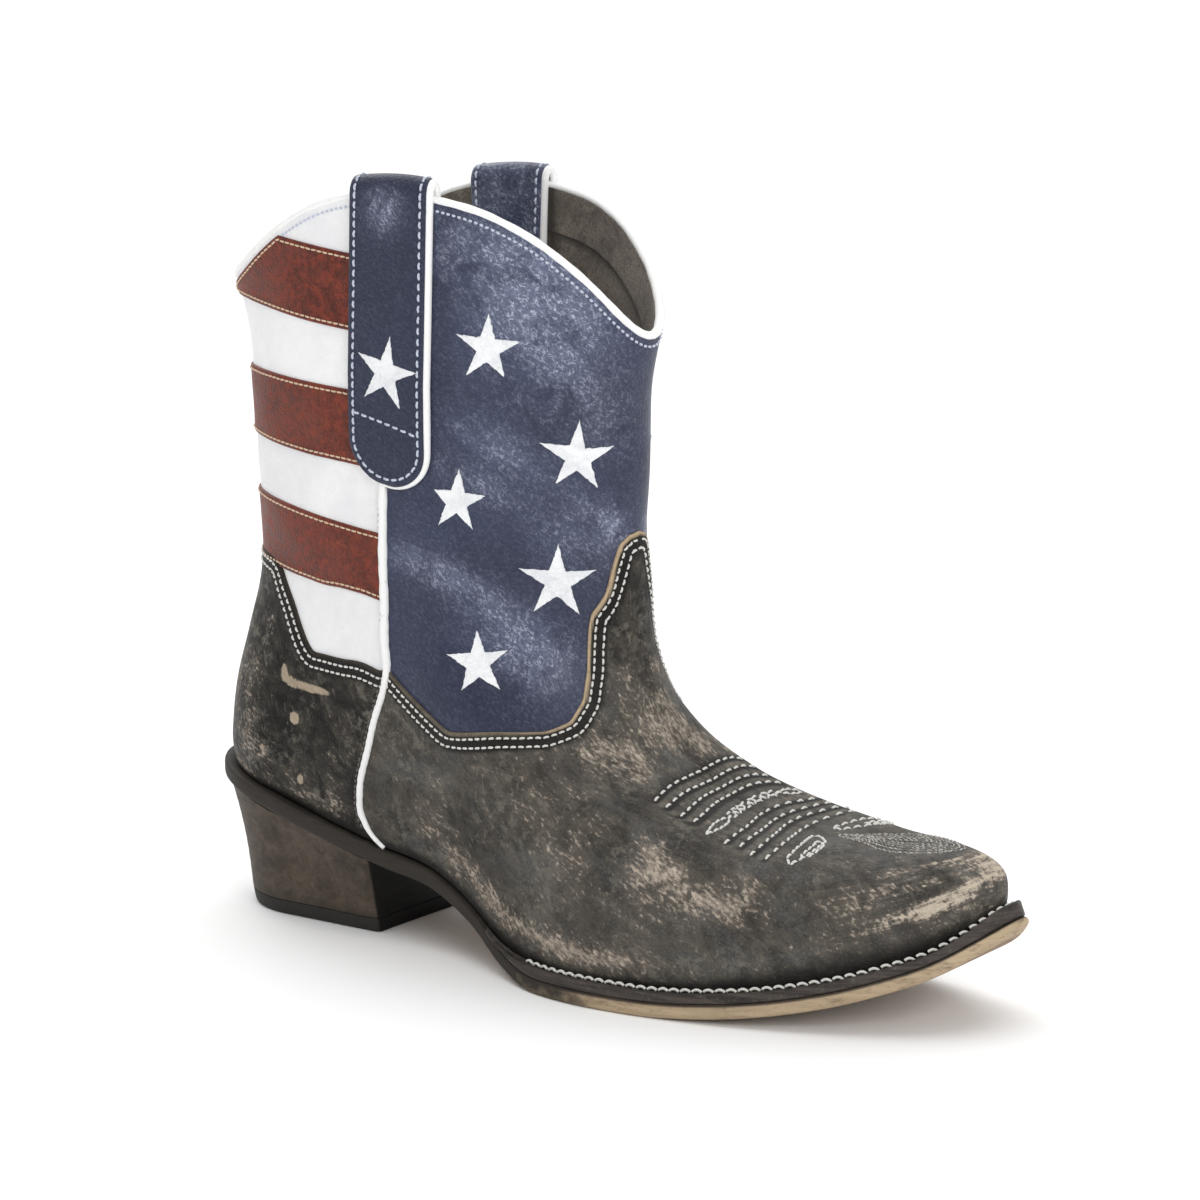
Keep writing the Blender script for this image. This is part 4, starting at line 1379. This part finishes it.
strap_rows = []
for side, sheet in straps.items():
    half, front = STRAP_HALF_WIDTH - STRAP_INSET_BACK, STRAP_HALF_WIDTH - STRAP_INSET_FRONT
    row_t = run_length(sheet[:, 16]) + leg_t[0]
    t_up = np.linspace(STRAP_HALF_WIDTH, row_t[-1] - 1.5, 300)
    arc = np.linspace(0, np.pi, 120)[1:-1]
    bend = np.where(arc < 1.57, front, half) * np.cos(arc)
    a = np.concatenate([np.full(300, front), bend, np.full(300, -half)])
    t = np.concatenate([t_up[::-1], STRAP_HALF_WIDTH - half * np.sin(arc), t_up])
    # round the strap's edge, and straight across it above its foot
    straight = np.stack([np.linspace(-half, half, 60), np.linspace(*STRAP_CROSS_ROW, 60)], -1)
    for line in (np.stack([a, t], -1), straight):
        far = run_length(line)
        at = np.arange(1.2, far[-1] - 0.6, STRAP_PITCH)
        spots = []
        for d in (-0.7, 0.0, 0.7):
            a1, t1 = (np.interp(at + d, far, line[:, k]) for k in (0, 1))
            on_leg, on_row = (np.interp(t1, q, np.arange(len(q))) for q in (leg_t, row_t))
            curl = np.clip(1 - t1 / STRAP_HALF_WIDTH, 0, 1)
            wide = STRAP_HALF_WIDTH * np.sqrt(np.clip(1 - curl**2, 1e-4, 1))
            c = np.interp(np.clip(a1 / wide, -1, 1), across, np.arange(len(across)))
            spots.append(on_grid(sheet, np.where(t1 <= leg_t[-1], on_leg, on_row), c))
        middle = spots[1][1][len(at) // 2]
        normal = spots[1][1] * np.sign(middle[1] * side)
        strap_rows.append(np.stack([spots[1][0], spots[2][0] - spots[0][0], normal], 1))
sew("strap_stitches", strap_rows, length=1.9, width=0.82, seed=9, thread=cool_thread)

groove = inner_edge + out * WELT_GROOVE
groove = np.concatenate([groove, (sole_top(groove[:, 0]) + thick + 0.55 + 2.5 * tip)[:, None]], 1)
groove = evenly(groove[14:-14], 2000)
count = int(np.linalg.norm(np.diff(groove, axis=0), axis=1).sum() / WELT_PITCH)
spots = np.linspace(8, 1991, count).astype(int)
upright = np.tile((0.0, 0.0, 1.0), (count, 1))
welt_row = np.stack([groove[spots], groove[spots + 6] - groove[spots - 6], upright], 1)
sew("welt_stitches", [welt_row], length=2.9, width=0.9, seed=11, thread=pale_thread)

# Toe stitching: the decorative rows across the vamp, arcs over the ridge from side to side, one
# crossed chain among them, a leaf each side and a pointed medallion towards the toe.
# medallion edge by height share: v, s
MEDALLION = np.array([
    (0.217, 1.0), (0.222, 0.998), (0.236, 0.988), (0.251, 0.979), (0.269, 0.973), (0.295, 0.975),
    (0.333, 0.988), (0.375, 0.998), (0.400, 1.0)])
MEDALLION_V = 0.315
# leaf each side: s and v round its edge, from the foot up one side and down the other
LEAF = np.array([
    (0.879, 0.253), (0.886, 0.276), (0.904, 0.301), (0.925, 0.329), (0.962, 0.375), (0.988, 0.408),
    (0.994, 0.414), (0.993, 0.402), (0.972, 0.364), (0.935, 0.317), (0.914, 0.291), (0.895, 0.269),
    (0.879, 0.253)])
LEAF_MIDDLE = np.array((0.925, 0.294))
# share of the chain's half length where its wide loops begin, and the half length of an inner loop
CHAIN_BREAK, CHAIN_LOOP = 0.58, 0.145


def arc_over(line, count=240):
    """Line from the outer side over the ridge to the inner side, as u and v."""
    u = -1 + np.linspace(1, -1, count) * (1 - u_of(line[0]))
    return u, row_height(line, u)[0]


pitches = [4.2] * 4 + [5.0] * 4
toe_rows = [row_on_hide(*arc_over(line), ON_VAMP, pitch) for line, pitch in zip(TOE_ROWS, pitches)]
u, v = arc_over(CHAIN, 700)
far = np.abs(np.linspace(-1, 1, 700))
wave = np.where(far > CHAIN_BREAK, 1.5 * np.sin(np.pi * (1 - far) / (1 - CHAIN_BREAK)),
                1.25 * np.sin(np.pi * (CHAIN_BREAK - far) / CHAIN_LOOP))
du, dv = inset(u, v, 1.0, False)
for side in (-1, 1):
    sway = side * wave
    toe_rows.append(row_on_hide(u + (du - u) * sway, v + (dv - v) * sway, ON_VAMP, pitch=3.0))
fine_rows = []
for scale in (1.0, 0.8, 0.6, 0.4, 0.2):
    mv = np.linspace(MEDALLION[0, 0], MEDALLION[-1, 0], 160)
    ms = 1 - u_of(np.interp(mv, *MEDALLION.T))
    mv = MEDALLION_V + (mv - MEDALLION_V) * (0.5 + 0.5 * scale)
    loop_u = np.concatenate([-1 + ms * scale, (-1 - ms * scale)[::-1]])
    fine_rows.append(row_on_hide(loop_u, np.concatenate([mv, mv[::-1]]), ON_VAMP, pitch=1.7))
for side in (-1, 1):
    t = np.linspace(0, len(LEAF) - 1, 200)
    leaf = np.stack([np.interp(t, np.arange(len(LEAF)), LEAF[:, k]) for k in (0, 1)], -1)
    for scale in (1.0, 0.55):
        s1, v1 = (LEAF_MIDDLE + (leaf - LEAF_MIDDLE) * scale).T
        toe_rows.append(row_on_hide(side * u_of(s1), v1, ON_VAMP, pitch=3.2))
sew("toe_stitches", toe_rows, length=2.3, width=0.85, seed=13, thread=pale_thread)
fine_thread = thread_of("medallion_thread", (112, 109, 104), (196, 193, 186), gloss=0.25, size=900.0,
                        spread=(0.35, 0.65))
sew("medallion_stitches", fine_rows, length=1.3, width=0.56, seed=17, thread=fine_thread)

# Floor: a plain white studio floor, matt and nearly even, that takes the boot's soft shadow. It is
# not part of the boot.
FLOOR_HALF = 400
paper, tree, shader, at = finish_of("studio_paper", Specular_IOR_Level=0.0)
soft = noise(tree, at, 3.0, 2.0, 0.5)
feed(tree, shader, Base_Color=times(tree, soft, 0.01, 0.985),
     Roughness=ramp(tree, soft, 0.0, 1.0, 0.4, 0.5))
mesh = bpy.data.meshes.new("studio_floor")
corners = [(x * FLOOR_HALF, y * FLOOR_HALF, 0) for x, y in ((-1, -1), (1, -1), (1, 1), (-1, 1))]
mesh.from_pydata(corners, [], [(0, 1, 2, 3)])
mesh.materials.append(paper)
floor = bpy.data.objects.new("studio_floor", mesh)
bpy.context.collection.objects.link(floor)
floor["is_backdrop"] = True

# Light and camera: a wide soft light overhead, a box at the front right for the gloss on the shaft
# and one behind, white surroundings, and the photograph's own angle.
scene = bpy.context.scene
scene.view_settings.view_transform = "Standard"
world = bpy.data.worlds.new("studio_white")
world.use_nodes = True
world.node_tree.nodes["Background"].inputs["Color"].default_value = (1.0, 1.0, 1.0, 1.0)
world.node_tree.nodes["Background"].inputs["Strength"].default_value = 0.55
scene.world = world
sun = bpy.data.lights.new("ceiling_light", "SUN")
sun.energy, sun.angle = 1.7, math.radians(75.0)
body = bpy.data.objects.new("ceiling_light", sun)
body.rotation_euler = (math.radians(-14.0), math.radians(-16.0), 0.0)
bpy.context.collection.objects.link(body)
for name, place, aim, size, power in (("front_box", (1.1, -0.75, 0.75), (0.0, 0.0, 0.14), 0.7, 7.0),
                                      ("back_box", (-1.0, 0.5, 0.9), (0.0, 0.0, 0.12), 0.6, 3.0)):
    lamp = bpy.data.lights.new(name, "AREA")
    lamp.size, lamp.energy = size, power
    body = bpy.data.objects.new(name, lamp)
    body.location = place
    body.rotation_euler = (Vector(aim) - Vector(place)).to_track_quat("-Z", "Y").to_euler()
    bpy.context.collection.objects.link(body)
camera = bpy.data.cameras.new("photo_view")
camera.lens, camera.sensor_width = 108.5, 36.0
camera.clip_end = 1000.0
view = bpy.data.objects.new("photo_view", camera)
view.location = (0.6194, -0.8818, 0.3132)
view.rotation_euler = (Vector((-0.0008, 0.0039, 0.1109)) - view.location).to_track_quat("-Z", "Y").to_euler()
bpy.context.collection.objects.link(view)
scene.camera = view

low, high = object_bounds()
